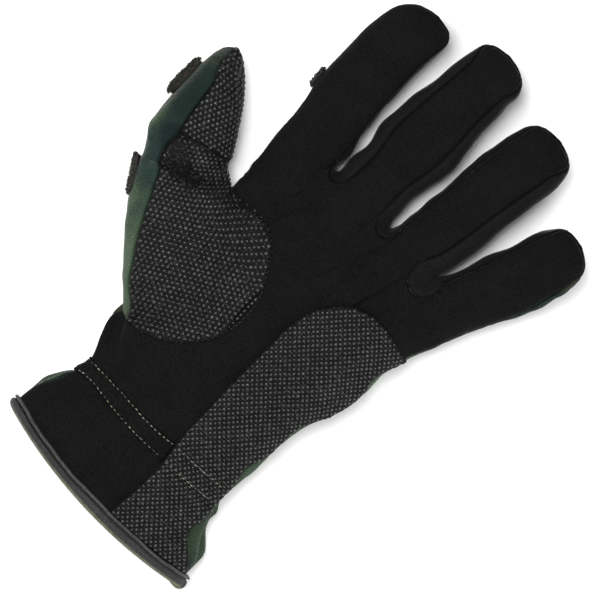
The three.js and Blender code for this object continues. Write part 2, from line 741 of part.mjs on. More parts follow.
// Row numbers of the thumb that all its pieces share: the ball, then the cap.
const ballRows = Array.from({ length: ballSteps + 1 }, (_, i) => (capRow * i) / ballSteps);
const capRows = Array.from({ length: capSteps + 1 }, (_, i) => {
  return mix(capRow, thumbTip, 1 - (1 - i / capSteps) ** 1.15);
});

// The thumb's seams at a row, as section angles: where the back cloth ends on the front,
// half a gap there, and the seam on the free side.
function thumbSeams(row) {
  const f = thumbSection(row);
  return {
    border: f.border,
    slack: gap / 2 / Math.hypot(f.half * Math.sin(f.border), f.rise * Math.cos(f.border)),
    side: thumbSide * (1 - f.open) * (1 - smooth(thumbTip - 2, thumbTip, row)),
  };
}

// A share of the way across the thumb's front pieces, as a section angle.
function thumbFront(row, v) {
  const { border, slack, side } = thumbSeams(row);
  return mix(border - slack, side, v);
}

// A thick sheet over these rows of the thumb.
function thumbSheet(rows, columns, wall, point) {
  return thickGrid(rows.length, columns + 1, wall, (u, v, inset) => {
    return point(rows[Math.round(u * (rows.length - 1))], v, inset);
  });
}

function thumbGripPanel() {
  return thumbSheet([...ballRows, capRows[1]], thumbColumns, gripWall, (row, v, inset) => {
    const sink = (gripWall + gap) * smooth(capRow - 0.9, capRow, row);
    const point = thumbPoint(row, thumbFront(row, v), inset + sink);
    return clearOfPalm(point, layGap + gripWall - inset);
  });
}

function thumbCap() {
  return thumbSheet(capRows, thumbColumns, gripWall, (row, v, inset) => {
    return thumbPoint(row, thumbFront(row, v), inset);
  });
}

function thumbBackPanel() {
  const rows = [...ballRows, ...capRows.slice(1)];
  return thumbSheet(rows, thumbBackColumns, clothWall, (row, v, inset) => {
    const { border, slack, side } = thumbSeams(row);
    const angle = mix(border + slack, 2 * Math.PI + side - gap / thumbDrop, v);
    const point = thumbPoint(row, angle, inset);
    if (inset > 0 && row > sharpRow && angle > Math.PI) point[2] = Math.min(point[2], thumbMid - gap);
    return angle < Math.PI ? clearOfPalm(point, layGap + gripWall - inset) : point;
  });
}

// The space inside the thumb, which opens into the palm.
function thumbHollow() {
  const rings = [];
  for (let i = 0; i <= hollowRings; i += 1) {
    const row = mix(hollowRow, thumbTip - 0.6, i / hollowRings);
    const ring = [];
    for (let j = 0; j < hollowSides; j += 1) {
      ring.push(thumbPoint(row, (j / hollowSides) * 2 * Math.PI, clothWall));
    }
    rings.push(ring);
  }
  return toSolid(solidRings(rings));
}

// The hole in the palm cloth under the thumb ball, smaller than the ball by the lap.
function thumbHole() {
  const edge = [];
  for (let i = 0; i <= 10; i += 1) {
    const f = thumbSection(mix(...holeRows, i / 10));
    const reach = f.half - thumbLap;
    edge.push(new THREE.Vector2(f.centre[0] + f.across[0] * reach, f.centre[1] + f.across[1] * reach));
  }
  const outside = -palmWidth * 0.6;
  edge.push(new THREE.Vector2(outside, edge[edge.length - 1].y));
  edge.push(new THREE.Vector2(outside, edge[0].y));
  const depth = palmMid + palmRise + thenarRise;
  const prism = new THREE.ExtrudeGeometry(new THREE.Shape(edge), { depth, bevelEnabled: false });
  return toSolid(prism.translate(0, 0, palmMid * 0.4));
}

// The hand body grown by a gap, which the thumb pieces keep clear of.
function bodyKeepOut() {
  const rings = [];
  const underFloor = clothWall;
  for (let i = 0; i <= keepOutRings; i += 1) {
    const station = mix(-cuffDepth * 0.5, palmDepth * 0.84, i / keepOutRings);
    const ring = [];
    for (let j = 0; j < keepOutSides; j += 1) {
      const [x, y, z] = bodyPoint(station, (j / keepOutSides) * 2 * Math.PI, -gap);
      ring.push([x, y, z < gap ? z - underFloor : z]);
    }
    rings.push(ring);
  }
  return toSolid(solidRings(rings));
}

// Pieces laid on the hand body

// Top edge of the heel patch at a place across the hand: rounded towards its left
// corner, and lower at the side of the hand.
function heelTop(x) {
  const corner = Math.min(1, Math.max(0, 1 - (x - heelGripEdge) / heelCornerWidth));
  const side = smooth(heelGripEdge + 1.2 * heelCornerWidth, palmWidth / 2, x);
  return heelGripTop - heelCornerHeight * (1 - Math.sqrt(1 - corner ** 2)) - heelSideDrop * side;
}

function heelGripPanel() {
  const low = bindingWidth - cuffDepth;
  const sideTop = heelGripTop - heelSideDrop;
  const heelAngle = (y, v) => {
    const share = (heelGripEdge - curve(bodyTable, 'centre', y)) / curve(bodyTable, 'half', y);
    return mix(outerShow, angleAt(share, bodySquareness), 1 - (1 - v) ** 1.3);
  };
  return thickGrid(heelSteps + 1, heelColumns + 1, gripWall, (u, v, inset) => {
    const [x] = bodyPoint(sideTop, heelAngle(sideTop, v), 0);
    const y = mix(low, heelTop(x), u);
    return bodyPoint(y, heelAngle(y, v), inset - layGap - gripWall);
  });
}

function wristBand() {
  return thickGrid(bandSteps + 1, bandColumns + 1, bandWall, (u, v, inset) => {
    const y = mix(-bandWidth / 2, bandWidth / 2, u);
    const centre = curve(bodyTable, 'centre', y);
    const right = angleAt((heelGripEdge - gap - centre) / curve(bodyTable, 'half', y), bodySquareness);
    return bodyPoint(y, mix(Math.PI + sideWrap, right, v), inset - layGap - bandWall);
  });
}

// Tape folded round the cuff edge: a hook-shaped section carried round the opening.
// Each corner of the section is its growth out of the cloth's face and its place along
// the hand from the cloth edge.
function cuffBinding() {
  const out = layGap + tapeWall;
  const inside = -clothWall - tapeSlack;
  const leg = bindingWidth - out;
  const section = [
    [out, leg], [out, 0], [0, -out], [inside, -out], [inside - tapeWall, 0],
    [inside - tapeWall, leg], [inside, leg], [inside, -layGap], [layGap, -layGap], [layGap, leg],
  ];
  const corners = [];
  for (let i = 0; i < bindingStations; i += 1) {
    const angle = (i / bindingStations) * 2 * Math.PI;
    section.forEach(([grow, along]) => corners.push(bodyPoint(along - cuffDepth, angle, -grow)));
  }
  const size = section.length;
  const triangles = [];
  for (let i = 0; i < bindingStations; i += 1) {
    for (let j = 0; j < size; j += 1) {
      const k = (j + 1) % size;
      const next = ((i + 1) % bindingStations) * size;
      triangles.push([i * size + j, i * size + k, next + k], [i * size + j, next + k, next + j]);
    }
  }
  return solidFrom(corners, triangles);
}

// A pad laid on the thumb.
function thumbPad({ low, high, from, to, rise }) {
  return thickGrid(tabSteps + 1, tabSteps + 1, rise, (u, v, inset) => {
    return thumbPoint(mix(low, high, u), radians(mix(from, to, v)), inset - gap - rise);
  });
}

// A pad laid on a finger.
function fingerPad(finger, { start, length, from, to }) {
  return thickGrid(tabSteps + 1, tabSteps + 1, loopPadRise, (u, v, inset) => {
    const at = start + (u * length) / finger.length;
    return fingerPoint(finger, at, radians(mix(from, to, v)), inset - gap - loopPadRise);
  });
}

// Scene graph

const glove = new THREE.Group();

function addPiece(name, geometry, color, roughness) {
  const material = new THREE.MeshStandardMaterial({ color, roughness, metalness: 0, flatShading: true });
  const mesh = new THREE.Mesh(geometry, material);
  mesh.name = name;
  glove.add(mesh);
}

const blackKnit = 0x1b1c1e;
const stripKnit = 0x1d1e20;
const cuffTape = 0x6d6e68;
const camouflage = 0x4c6a4a;
const gripCloth = 0x2b2b2c;
const fuzz = 0x2a241d;

const hollow = thumbHollow();
const keepOut = bodyKeepOut();
const palm = toSolid(handPanel(1)).subtract(thumbHole()).subtract(hollow);
const back = toSolid(handPanel(-1)).subtract(hollow);
addPiece('palm_panel', toGeometry(palm), blackKnit, 0.9);
addPiece('back_panel', toGeometry(back), camouflage, 0.85);
crotches.forEach(({ name }, index) => addPiece(name, sideStrip(index), stripKnit, 0.85));
addPiece('thumb_grip_panel', toGeometry(toSolid(thumbGripPanel()).subtract(keepOut)), gripCloth, 0.55);
addPiece('thumb_cap', thumbCap(), gripCloth, 0.55);
addPiece('thumb_back_panel', toGeometry(toSolid(thumbBackPanel()).subtract(keepOut)), camouflage, 0.85);
addPiece('heel_grip_panel', heelGripPanel(), gripCloth, 0.55);
addPiece('wrist_band', wristBand(), blackKnit, 0.9);
addPiece('cuff_binding', cuffBinding(), cuffTape, 0.7);
thumbTabs.forEach((tab) => addPiece(tab.name, thumbPad(tab), fuzz, 0.95));
indexTabs.forEach((tab) => addPiece(tab.name, fingerPad(fingers[0], tab), fuzz, 0.95));

const box = new THREE.Box3().setFromObject(glove);
const centre = box.getCenter(new THREE.Vector3());
glove.position.set(-centre.x, -centre.y, -box.min.z);

export default glove;
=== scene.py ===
# %% [markdown]
# # A fishing glove, lying palm up
#
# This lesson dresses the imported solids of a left-hand fishing glove. The solids are a
# plain faceted glove: they say where each cloth piece is and how thick it is. Here every
# piece is made again as a fine surface, with its seams, folds, grip dots, stitches and
# fuzzy tabs, and gets a cloth material.
#
# Each surface is a formula of two parameters, worked out with numpy on a whole grid at
# once, and then bent by a few small formulas for seams and folds.

# %% Load the frame
import math

import bpy
import numpy as np
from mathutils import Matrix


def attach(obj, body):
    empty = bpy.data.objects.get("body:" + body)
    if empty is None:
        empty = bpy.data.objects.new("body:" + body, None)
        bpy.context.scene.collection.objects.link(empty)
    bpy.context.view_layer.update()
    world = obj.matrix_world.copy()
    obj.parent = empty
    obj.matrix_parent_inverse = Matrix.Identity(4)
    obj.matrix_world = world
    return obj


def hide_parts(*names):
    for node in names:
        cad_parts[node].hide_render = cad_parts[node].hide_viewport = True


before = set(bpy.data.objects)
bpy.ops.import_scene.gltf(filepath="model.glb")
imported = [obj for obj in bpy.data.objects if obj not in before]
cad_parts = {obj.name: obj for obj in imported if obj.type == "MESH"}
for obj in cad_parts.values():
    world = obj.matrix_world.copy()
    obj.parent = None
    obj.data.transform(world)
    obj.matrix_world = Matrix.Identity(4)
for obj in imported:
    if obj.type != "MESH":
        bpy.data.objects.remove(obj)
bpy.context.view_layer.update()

print("solids:", sorted(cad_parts))

# %% [markdown]
# ## Sizes
#
# All lengths in this file are millimetres, as a glove maker would write them, in a frame
# whose origin is the middle of the wrist on the table: +Y runs to the fingertips, -X to
# the thumb and +Z up out of the palm. `FROM_WRIST` moves them to the frame of the packed
# solids, and `put` turns them into metres.

# %% Sizes of the hand, the thumb and the cloth
FROM_WRIST = np.array([6.308, -94.508, 0.0])
PER_METRE = 1000

PALM_DEPTH, PALM_WIDTH = 140.0, 118.0
WRIST_WIDTH, CUFF_WIDTH, CUFF_DEPTH = 88.0, 110.0, 42.0
CUFF_BOW, CUFF_SLANT = 6.5, 3.2
PALM_MID, PALM_RISE, PALM_DROP = 12.0, 15.5, 13.5
BODY_SQUARENESS, FINGER_SQUARENESS, THUMB_SQUARENESS = 2.6, 2.4, 2.4

CLOTH_WALL, STRIP_WALL, GRIP_WALL, BAND_WALL, TAPE_WALL = 2.4, 1.6, 1.3, 1.1, 1.3
GAP, LAY_GAP, TAPE_SLACK = 0.3, 0.55, 1.2

FINGER_LENGTH, FINGER_WIDTH, FINGER_RISE, FINGER_MID = 86.0, 36.0, 11.0, 11.5
TIP_LIFT, TIP_ROUND, TIP_FLAT, TIP_EDGE, TIP_FULL = 6.0, 14.0, 0.42, 0.14, 1.3
CROTCH_DROP = 4.0
SIDE_WRAP, OUTER_SHOW, TIP_SHOW, THUMB_SIDE = np.radians([6.0, 14.0, 24.0, -12.0])

THUMB_LENGTH, THENAR_WIDTH, THENAR_RISE = 122.0, 72.0, 20.5
THUMB_MID, THUMB_RISE, THUMB_DROP, THUMB_LAP = 12.0, 11.5, 12.0, 6.0
CAP_ROW, THUMB_TIP, THUMB_FULL = 7.9, 12.0, 2.2

HEEL_EDGE, HEEL_TOP, HEEL_SIDE_DROP = 10.0, 107.5, 4.0
HEEL_CORNER_WIDTH, HEEL_CORNER_HEIGHT = 25.0, 38.0
BINDING_WIDTH = 6.5
print("palm", PALM_WIDTH, "by", PALM_DEPTH, "mm, cuff", CUFF_WIDTH, "mm wide")

# %% [markdown]
# ## Small mathematics
#
# A glove's outline is a few measured rows with a smooth curve through them. A section
# across a finger or the palm lies between an ellipse and a rectangle, which one power
# sets: the powers of its two coordinates add up to one.

# %% Curves through tables, and the squared ellipse
def columns(names, rows):
    """A table as one array for each named column."""
    return dict(zip(names.split(), np.array(rows, float).T))


def mix(a, b, t):
    """From a to b: a plus the share t of their difference."""
    return a + (b - a) * t


def smooth(low, high, x):
    """Rises from 0 at low to 1 at high: three t squared less two t cubed."""
    t = np.clip((x - low) / (high - low), 0, 1)
    return t * t * (3 - 2 * t)


def bump(x, width):
    """A bell: e to the minus square of x over width."""
    return np.exp(-(x / width) ** 2)


def curve(places, values, at):
    """The cubic through the table's rows that also meets the slope at each row, which is
    the rise over the run between the row before and the row after."""
    places, values, at = (np.asarray(item, float) for item in (places, values, at))
    before = np.maximum(np.arange(len(places)) - 1, 0)
    after = np.minimum(np.arange(len(places)) + 1, len(places) - 1)
    slope = (values[after] - values[before]) / (places[after] - places[before])
    i = np.clip(np.searchsorted(places, at, side="right") - 1, 0, len(places) - 2)
    span = places[i + 1] - places[i]
    t = np.clip((at - places[i]) / span, 0, 1)
    a, b, d = 2 * t**3 - 3 * t**2 + 1, t**3 - 2 * t**2 + t, t**3 - t**2
    return a * values[i] + b * span * slope[i] + (1 - a) * values[i + 1] + d * span * slope[i + 1]


def squircle(angle, power):
    """The unit section in a direction: the direction over the power mean of its parts."""
    c, s = np.cos(angle), np.sin(angle)
    r = (np.abs(c) ** power + np.abs(s) ** power) ** (-1 / power)
    return r * c, r * s


def angle_at(share, power):
    """The section angle, 0 to pi, whose point lies at this share of the half width."""
    x = np.clip(np.abs(share), 1e-6, 0.999999)
    angle = np.arctan((x**-power - 1) ** (1 / power))
    return np.where(np.asarray(share) < 0, np.pi - angle, angle)


def point(x, y, z):
    """Three coordinates as one array of points."""
    return np.stack(np.broadcast_arrays(x, y, z), axis=-1).astype(float)


print("the palm's section at 45 degrees:", np.round(squircle(np.pi / 4, BODY_SQUARENESS), 3))

# %% [markdown]
# ## The hand
#
# The body of the hand is one table of rows from the cuff to the knuckles. Each row gives
# how far the cloth reaches to the left and right of the middle line and how high the palm
# stands. A few soft hollows are pressed into the top.

# %% The hand body as a surface of place along the hand and angle round it
BODY = columns("at of left right rise bow", [
    (-1.15, CUFF_WIDTH, 0.497, 0.512, 0.84, 1.0),
    (-0.75, CUFF_WIDTH, 0.487, 0.485, 0.84, 0.8),
    (-0.45, CUFF_WIDTH, 0.465, 0.435, 0.8, 0.45),
    (-0.2, WRIST_WIDTH, 0.535, 0.503, 0.75, 0.2),
    (0, WRIST_WIDTH, 0.49, 0.482, 0.71, 0.12),
    (0.06, WRIST_WIDTH, 0.501, 0.49, 0.72, 0),
    (0.12, PALM_WIDTH, 0.406, 0.373, 0.77, 0),
    (0.2, PALM_WIDTH, 0.434, 0.377, 0.86, 0),
    (0.3, PALM_WIDTH, 0.415, 0.383, 0.95, 0),
    (0.37, PALM_WIDTH, 0.41, 0.403, 1.0, 0),
    (0.44, PALM_WIDTH, 0.411, 0.44, 1.03, 0),
    (0.55, PALM_WIDTH, 0.418, 0.47, 1.05, 0),
    (0.66, PALM_WIDTH, 0.425, 0.478, 1.03, 0),
    (0.76, PALM_WIDTH, 0.435, 0.51, 0.98, 0),
    (0.84, PALM_WIDTH, 0.433, 0.556, 0.92, 0),
    (0.92, PALM_WIDTH, 0.43, 0.595, 0.86, 0),
    (1.06, PALM_WIDTH, 0.46, 0.64, 0.8, 0),
])
BODY["y"] = BODY["at"] * np.where(BODY["at"] < 0, CUFF_DEPTH, PALM_DEPTH)
BODY["centre"] = (BODY["right"] - BODY["left"]) / 2 * BODY["of"]
BODY["half"] = (BODY["right"] + BODY["left"]) / 2 * BODY["of"]

DENTS = columns("x y wide deep press", [
    (-0.41, 0.155, 0.076, 0.064, 0.32),
    (0.02, 0.52, 0.144, 0.243, 0.21),
    (-0.07, 1.2, 0.136, 0.036, 0.1),
    (-0.62, 0.7, 0.102, 0.036, 0.16),
])
GATHERS = columns("side at reach swell", [
    (1, -0.13, 0.1, 0.03),
    (1, -0.55, 0.19, 0.046),
    (-1, -0.42, 0.26, 0.026),
])
BACK_SHOWS = columns("at reach degrees", [
    (88, 9, 11),
    (48, 14, 8),
    (18, 11, 17),
    (-21, 13, 24),
])
DRAWN_BACK, DRAWN_AT, DRAWN_REACH = math.radians(24), -15.0, 12.0


def body(name, y):
    """A column of the body table at a place along the hand."""
    return curve(BODY["y"], BODY[name], y)


def pressed(x, y):
    """Depth of the hollows: a sum of bells in plan."""
    total = 0.0
    for dx, dy, wide, deep, press in zip(*DENTS.values()):
        u, v = (x / PALM_WIDTH - dx) / wide, (y / PALM_DEPTH - dy) / deep
        total = total + press * PALM_RISE * np.exp(-(u * u + v * v) / 2)
    return total


def lobe(y, c, s):
    """The gathered back cloth at the wrist swells out sideways: bells along the hand, times
    a sine of the depth below the side seam."""
    total = 0.0
    for side, at, reach, swell in zip(*GATHERS.values()):
        out = np.where(side * c > 0, side * swell * CUFF_WIDTH, 0)
        total = total + out * bump(y / CUFF_DEPTH - at, reach)
    return np.where(s < 0, total * np.sin(np.pi * np.clip(-s / 0.9, 0, 1)) * np.abs(c), 0)


def body_point(y, angle, inset=0.0):
    """Squared ellipse at place y: half width times c across, rise or drop times s up,
    flattened by the table, with the cuff's edge bowed down in its middle."""
    c, s = squircle(angle, BODY_SQUARENESS)
    x = body("centre", y) + (body("half", y) - inset) * c
    height = np.where(s > 0, body("rise", y) * PALM_RISE, PALM_DROP)
    edge = (TAPE_WALL + LAY_GAP) * (1 - smooth(BINDING_WIDTH - CUFF_DEPTH, -CUFF_DEPTH * 0.4, y))
    z = PALM_MID + (height - inset) * s - np.where(s > 0, pressed(x, y) * s, 0)
    bow = body("bow", y)
    return point(x + lobe(y, c, s), y + bow * CUFF_BOW * c * c - bow * CUFF_SLANT * c,
                 np.maximum(z, inset + edge))


def right_seam(y):
    """Angle of the seam on the little-finger side; the back cloth comes round to the
    front in four places: high, halfway and low beside the heel patch, and at the cuff."""
    degrees = sum(more * bump(y - at, reach) for at, reach, more in zip(*BACK_SHOWS.values()))
    return OUTER_SHOW + np.radians(degrees)


def left_seam(y):
    """Angle past the side at which the palm cloth ends on the thumb side; it draws back
    at the cuff."""
    return SIDE_WRAP - DRAWN_BACK * bump(y - DRAWN_AT, DRAWN_REACH)


def palm_top(x, y):
    """Height of the palm cloth above a plan point, 0 beside the hand."""
    share = (x - body("centre", y)) / body("half", y)
    top = body_point(y, angle_at(share, BODY_SQUARENESS))[..., 2]
    return np.where(np.abs(share) < 1, top, 0)


wrist_and_palm = palm_top(np.zeros(2), np.array([0.0, PALM_DEPTH / 2]))
print("height of the cloth at the wrist and in mid palm:", np.round(wrist_and_palm, 1), "mm")

# %% [markdown]
# ## The fingers
#
# A finger is the same squared ellipse carried along a leaning line, with a closing at the
# tip. Its front piece ends at a seam on each side, given as a share of the half width, and
# a side strip fills the space between the front piece and the back piece.

# %% The fingers and the crotches between them
FINGERS = [
    dict(name="index", across=-0.33, along=1.057, lean=-0.5, long=0.878, wide=0.861,
         left=(0, 0), right=(0.9, 0.93), rows=columns("at shift half", [
             (0, 0, 0.494), (0.14, -0.034, 0.5), (0.25, -0.08, 0.51), (0.49, -0.1, 0.495),
             (0.72, -0.09, 0.485), (0.87, -0.03, 0.478), (1, 0.06, 0.47)])),
    dict(name="middle", across=-0.042, along=1.05, lean=2.3, long=1, wide=1,
         left=(0.62, 0.74), right=(0.62, 0.76), rows=columns("at shift half", [
             (0, 0, 0.46), (0.15, -0.005, 0.442), (0.32, -0.015, 0.522), (0.5, -0.012, 0.496),
             (0.65, -0.018, 0.449), (0.81, -0.005, 0.421), (0.9, 0.01, 0.415), (1, -0.02, 0.415)])),
    dict(name="ring", across=0.241, along=1.029, lean=8.8, long=0.909, wide=0.889,
         left=(0.86, 0.88), right=(0.45, 0.66), rows=columns("at shift half", [
             (0, 0, 0.425), (0.08, 0.036, 0.478), (0.33, 0.025, 0.487), (0.59, -0.003, 0.506),
             (0.78, 0.006, 0.503), (0.88, 0.006, 0.475), (1, 0, 0.47)])),
    dict(name="little", across=0.489, along=0.973, lean=22.2, long=0.719, wide=0.833,
         left=(0.84, 0.87), right=(0, 0), rows=columns("at shift half", [
             (0, 0, 0.455), (0.26, 0.022, 0.483), (0.5, 0.03, 0.508), (0.75, 0.019, 0.511),
             (0.87, -0.01, 0.478), (1, -0.035, 0.455)])),
]
for finger in FINGERS:
    finger["length"] = finger["long"] * FINGER_LENGTH
    finger["width"] = finger["wide"] * FINGER_WIDTH
    lean = math.radians(finger["lean"])
    finger["root"] = np.array([finger["across"] * PALM_WIDTH, finger["along"] * PALM_DEPTH])
    finger["ahead"] = np.array([math.sin(lean), math.cos(lean)])
    finger["side"] = np.array([math.cos(lean), -math.sin(lean)])
WEBS = [("index_middle_fourchette", 0.139), ("middle_ring_fourchette", 0.181),
        ("ring_pinky_fourchette", 0.306)]
SEAM_TURN = 0.82  # share of a finger's length where its seams start to run out to the side


def tip_close(finger, at):
    """0 until the tip starts to close, and up from there to 1 at its end."""
    return np.clip((at - 1) * finger["length"] / TIP_ROUND + 1, 0, 1)


def finger_section(finger, at):
    """Middle, half width, half thickness and height at a share of the length. Both the
    width and the thickness close on an elliptic arc over the last part of the finger."""
    along, close = np.maximum(0, at), tip_close(finger, at)
    shift = curve(finger["rows"]["at"], finger["rows"]["shift"], along) * finger["width"]
    wide = TIP_FLAT + (1 - TIP_FLAT) * np.sqrt(1 - close**2.4)
    thick = TIP_EDGE + (1 - TIP_EDGE) * np.sqrt(1 - close**2)
    reach = at * finger["length"]
    x, y = (finger["root"][i] + finger["ahead"][i] * reach + finger["side"][i] * shift
            for i in (0, 1))
    half = curve(finger["rows"]["at"], finger["rows"]["half"], along) * finger["width"] * wide
    return x, y, half, FINGER_RISE * thick, FINGER_MID + TIP_LIFT * along**2


def finger_point(finger, at, angle, inset=0.0):
    """The finger's section point, moved towards the middle of the section by inset. The
    middle of the tip reaches a little further than its sides."""
    x, y, half, thick, mid = finger_section(finger, at)
    c, s = squircle(angle, FINGER_SQUARENESS)
    wide = np.maximum(half - inset, 0.4 * half) * c
    full = TIP_FULL * tip_close(finger, at) ** 1.5 * (1 - c * c)
    x = x + finger["side"][0] * wide + finger["ahead"][0] * full
    y = y + finger["side"][1] * wide + finger["ahead"][1] * full
    z = mid + np.maximum(thick - inset, 0.1 * thick) * s
    if inset > 0:
        apart = np.where(s > 0, np.maximum(z, mid + GAP / 2), np.minimum(z, mid - GAP / 2))
        z = np.where(thick < 2 * CLOTH_WALL + inset, apart, z)
    return point(x, y, np.maximum(z - np.where(s > 0, pressed(x, y) * s, 0), inset))


def seam_angle(finger, at, side):
    """Section angle of the seam; it runs out to the side at the tip."""
    root, tip = finger["left" if side < 0 else "right"]
    if root == 0:
        return np.zeros_like(at, float)
    share = mix(mix(root, tip, np.maximum(0, at)), 0.99999, smooth(SEAM_TURN, 1, at))
    return angle_at(share, FINGER_SQUARENESS)


def gap_angle(half, thick, angle):
    """Angle that half a seam gap takes up at a section."""
    return GAP / 2 / np.hypot(half * np.sin(angle), thick * np.cos(angle))


def finger_edges(finger, at, face):
    """Section angles of the left and right edge of the front (1) or back (-1) piece. The
    back cloth of the little finger comes round to the front near its tip."""
    _, _, half, thick, _ = finger_section(finger, at)
    wrap = 1 - smooth(SEAM_TURN, 0.99, at)
    come_round = TIP_SHOW * smooth(0.3, 0.72, at) * (finger["name"] == "little")
    edges = []
    for side, outer in ((-1, -SIDE_WRAP), (1, OUTER_SHOW + come_round)):
        bare = finger["left" if side < 0 else "right"][0] == 0
        seam = outer * wrap * face if bare else seam_angle(finger, at, side)
        edges.append(seam + gap_angle(half, thick, seam))
    left, right = edges
    return (np.pi - left, right) if face > 0 else (np.pi + left, 2 * np.pi - right)


def crotch_stations(index, steps):
    """Sections round the crotch from the left finger's root to the right finger's: the
    wall of the gap follows a parabola, and the section turns half a circle."""
    a, b = FINGERS[index], FINGERS[index + 1]
    ax, ay, a_half, a_thick, a_mid = finger_section(a, 0.0)
    bx, by, b_half, b_thick, b_mid = finger_section(b, 0.0)
    share_a = squircle(seam_angle(a, np.float64(0), 1), FINGER_SQUARENESS)[0]
    share_b = squircle(seam_angle(b, np.float64(0), -1), FINGER_SQUARENESS)[0]
    wall_a = np.array([ax, ay]) + a["side"] * a_half
    wall_b = np.array([bx, by]) - b["side"] * b_half
    middle = math.radians((a["lean"] + b["lean"]) / 2)
    drift = np.array([math.sin(middle), math.cos(middle)])
    end = (wall_a + wall_b) / 2 - drift * CROTCH_DROP
    share_mid = 1 - WEBS[index][1] * FINGER_WIDTH / ((a_half + b_half) / 2)
    t = np.linspace(0, 1, steps + 1)

    def bend(p, q, r, t):
        """The parabola from p to r that passes q halfway."""
        return (1 - t) ** 2 * p + 2 * t * (1 - t) * (2 * q - (p + r) / 2) + t * t * r

    turn = mix(-math.radians(a["lean"]), math.pi - math.radians(b["lean"]), t)
    return dict(
        out=np.stack([np.cos(turn), np.sin(turn)], 1), wall=bend(wall_a, end, wall_b, t[:, None]),
        half=mix(a_half, b_half, t), thick=mix(a_thick, b_thick, t), mid=mix(a_mid, b_mid, t),
        seam=angle_at(bend(share_a, share_mid, share_b, t), FINGER_SQUARENESS), drift=drift)


def crotch_point(station, angle, inset=0.0):
    """A section point at a crotch station, reached back from the wall of the gap."""
    c, s = squircle(angle, FINGER_SQUARENESS)
    half, wall, out = station["half"], station["wall"], station["out"]
    reach = (half - inset) * c - half
    z = station["mid"] + (station["thick"] - inset) * s
    return point(wall[..., 0] + out[..., 0] * reach, wall[..., 1] + out[..., 1] * reach,
                 np.maximum(z, inset))


middle_tip = finger_point(FINGERS[1], np.float64(1), np.float64(np.pi / 2))
print("middle fingertip:", np.round(middle_tip + FROM_WRIST, 1), "mm")

# %% [markdown]
# ## From grids to meshes
#
# Cloth is a sheet with a thickness. Each piece is worked out twice, on its outer and its
# inner face, and the two grids are joined by a rim along every cell edge that has only
# one cell. The outer face then gets its fine relief, as a height along its normals.

# %% The cells of a grid and their open edges
def grid_cells(rows, cols, start=0):
    """Corner numbers of the cells of a grid written row by row."""
    corner = start + np.arange(rows - 1)[:, None] * cols + np.arange(cols - 1)
    return np.stack([corner, corner + 1, corner + cols + 1, corner + cols], -1).reshape(-1, 4)


def open_edges(cells):
    """Directed cell edges that no neighbouring cell runs the other way."""
    edges = np.concatenate([cells[:, [i, (i + 1) % 4]] for i in range(4)])
    size = cells.max() + 1
    return edges[~np.isin(edges[:, 1] * size + edges[:, 0], edges[:, 0] * size + edges[:, 1])]


patch = grid_cells(3, 4)
print("a grid of 3 by 4 points has", len(patch), "cells and", len(open_edges(patch)), "open edges")

# %% Normals, distances and the outward side
def normals(points, cells):
    """Normal at each corner: the sum of the cross products of its cells' diagonals."""
    p = points[cells]
    face = np.cross(p[:, 2] - p[:, 0], p[:, 3] - p[:, 1])
    total = np.zeros_like(points)
    for i in range(4):
        np.add.at(total, cells[:, i], face)
    return total / np.maximum(np.linalg.norm(total, axis=1, keepdims=True), 1e-9)


def softened(values, cells, times):
    """Each point takes the mean of its cells' means, several times over."""
    count = np.maximum(np.bincount(cells.ravel(), minlength=len(values)), 1)[:, None]
    for _ in range(times):
        middle, total = values[cells].mean(1), np.zeros_like(values)
        for i in range(4):
            np.add.at(total, cells[:, i], middle)
        values = total / count
    return values / np.maximum(np.linalg.norm(values, axis=1, keepdims=True), 1e-9)


def distance_to(points, targets):
    """Distance from each point to the nearest target, some points at a time: the squares
    of both less twice their product."""
    best = [
        (part**2).sum(1)[:, None] + (targets**2).sum(1) - 2 * part @ targets.T
        for part in np.array_split(points, max(1, len(points) // 2000))
    ]
    return np.sqrt(np.maximum(np.concatenate([b.min(1) for b in best]), 0))


def outward(points, faces):
    """Turns the faces over if the volume that they enclose comes out negative. A face adds
    the product of its first corner with the cross products of the others."""
    p = points[faces]
    near = (p[:, 0] * np.cross(p[:, 1], p[:, 2])).sum()
    far = (p[:, 0] * np.cross(p[:, 2], p[:, -1])).sum()
    return faces if near + far > 0 else faces[:, ::-1]


flat_patch = point(*np.meshgrid(np.arange(4.0), np.arange(3.0)), 0.0)
print("normal of a flat patch:", normals(flat_patch.reshape(-1, 3), patch)[0])

# %% The mesh and its marks
def mark(mesh, key, values):
    """A number for each point of the mesh, which a material reads by its name."""
    mesh.attributes.new(key, "FLOAT", "POINT").data.foreach_set("value", values.astype(np.float32))


def put(name, points, faces, material, uv=None, more=None, sharp=50):
    """A mesh object in metres at the origin. faces is a list of corner-number arrays, and
    more holds its marks. Edges sharper than sharp degrees are shaded as edges."""
    mesh = bpy.data.meshes.new(name)
    lists = [face for part in faces for face in part.tolist()]
    mesh.from_pydata(((points + FROM_WRIST) / PER_METRE).tolist(), [], lists)
    mesh.materials.append(material)
    mesh.shade_smooth()
    mesh.set_sharp_from_angle(angle=math.radians(sharp))
    if uv is not None:
        corner = np.zeros(len(mesh.loops), np.int32)
        mesh.loops.foreach_get("vertex_index", corner)
        places = (uv[corner] / PER_METRE).ravel()
        mesh.uv_layers.new(name="cloth").data.foreach_set("uv", places)
    for key, values in (more or {}).items():
        mark(mesh, key, values)
    mesh.update()
    piece = bpy.data.objects.new(name, mesh)
    bpy.context.scene.collection.objects.link(piece)
    low, high = points.min(0) + FROM_WRIST, points.max(0) + FROM_WRIST
    print(f"{name}: {len(lists)} faces, {np.round(low, 1)} to {np.round(high, 1)} mm")
    return piece


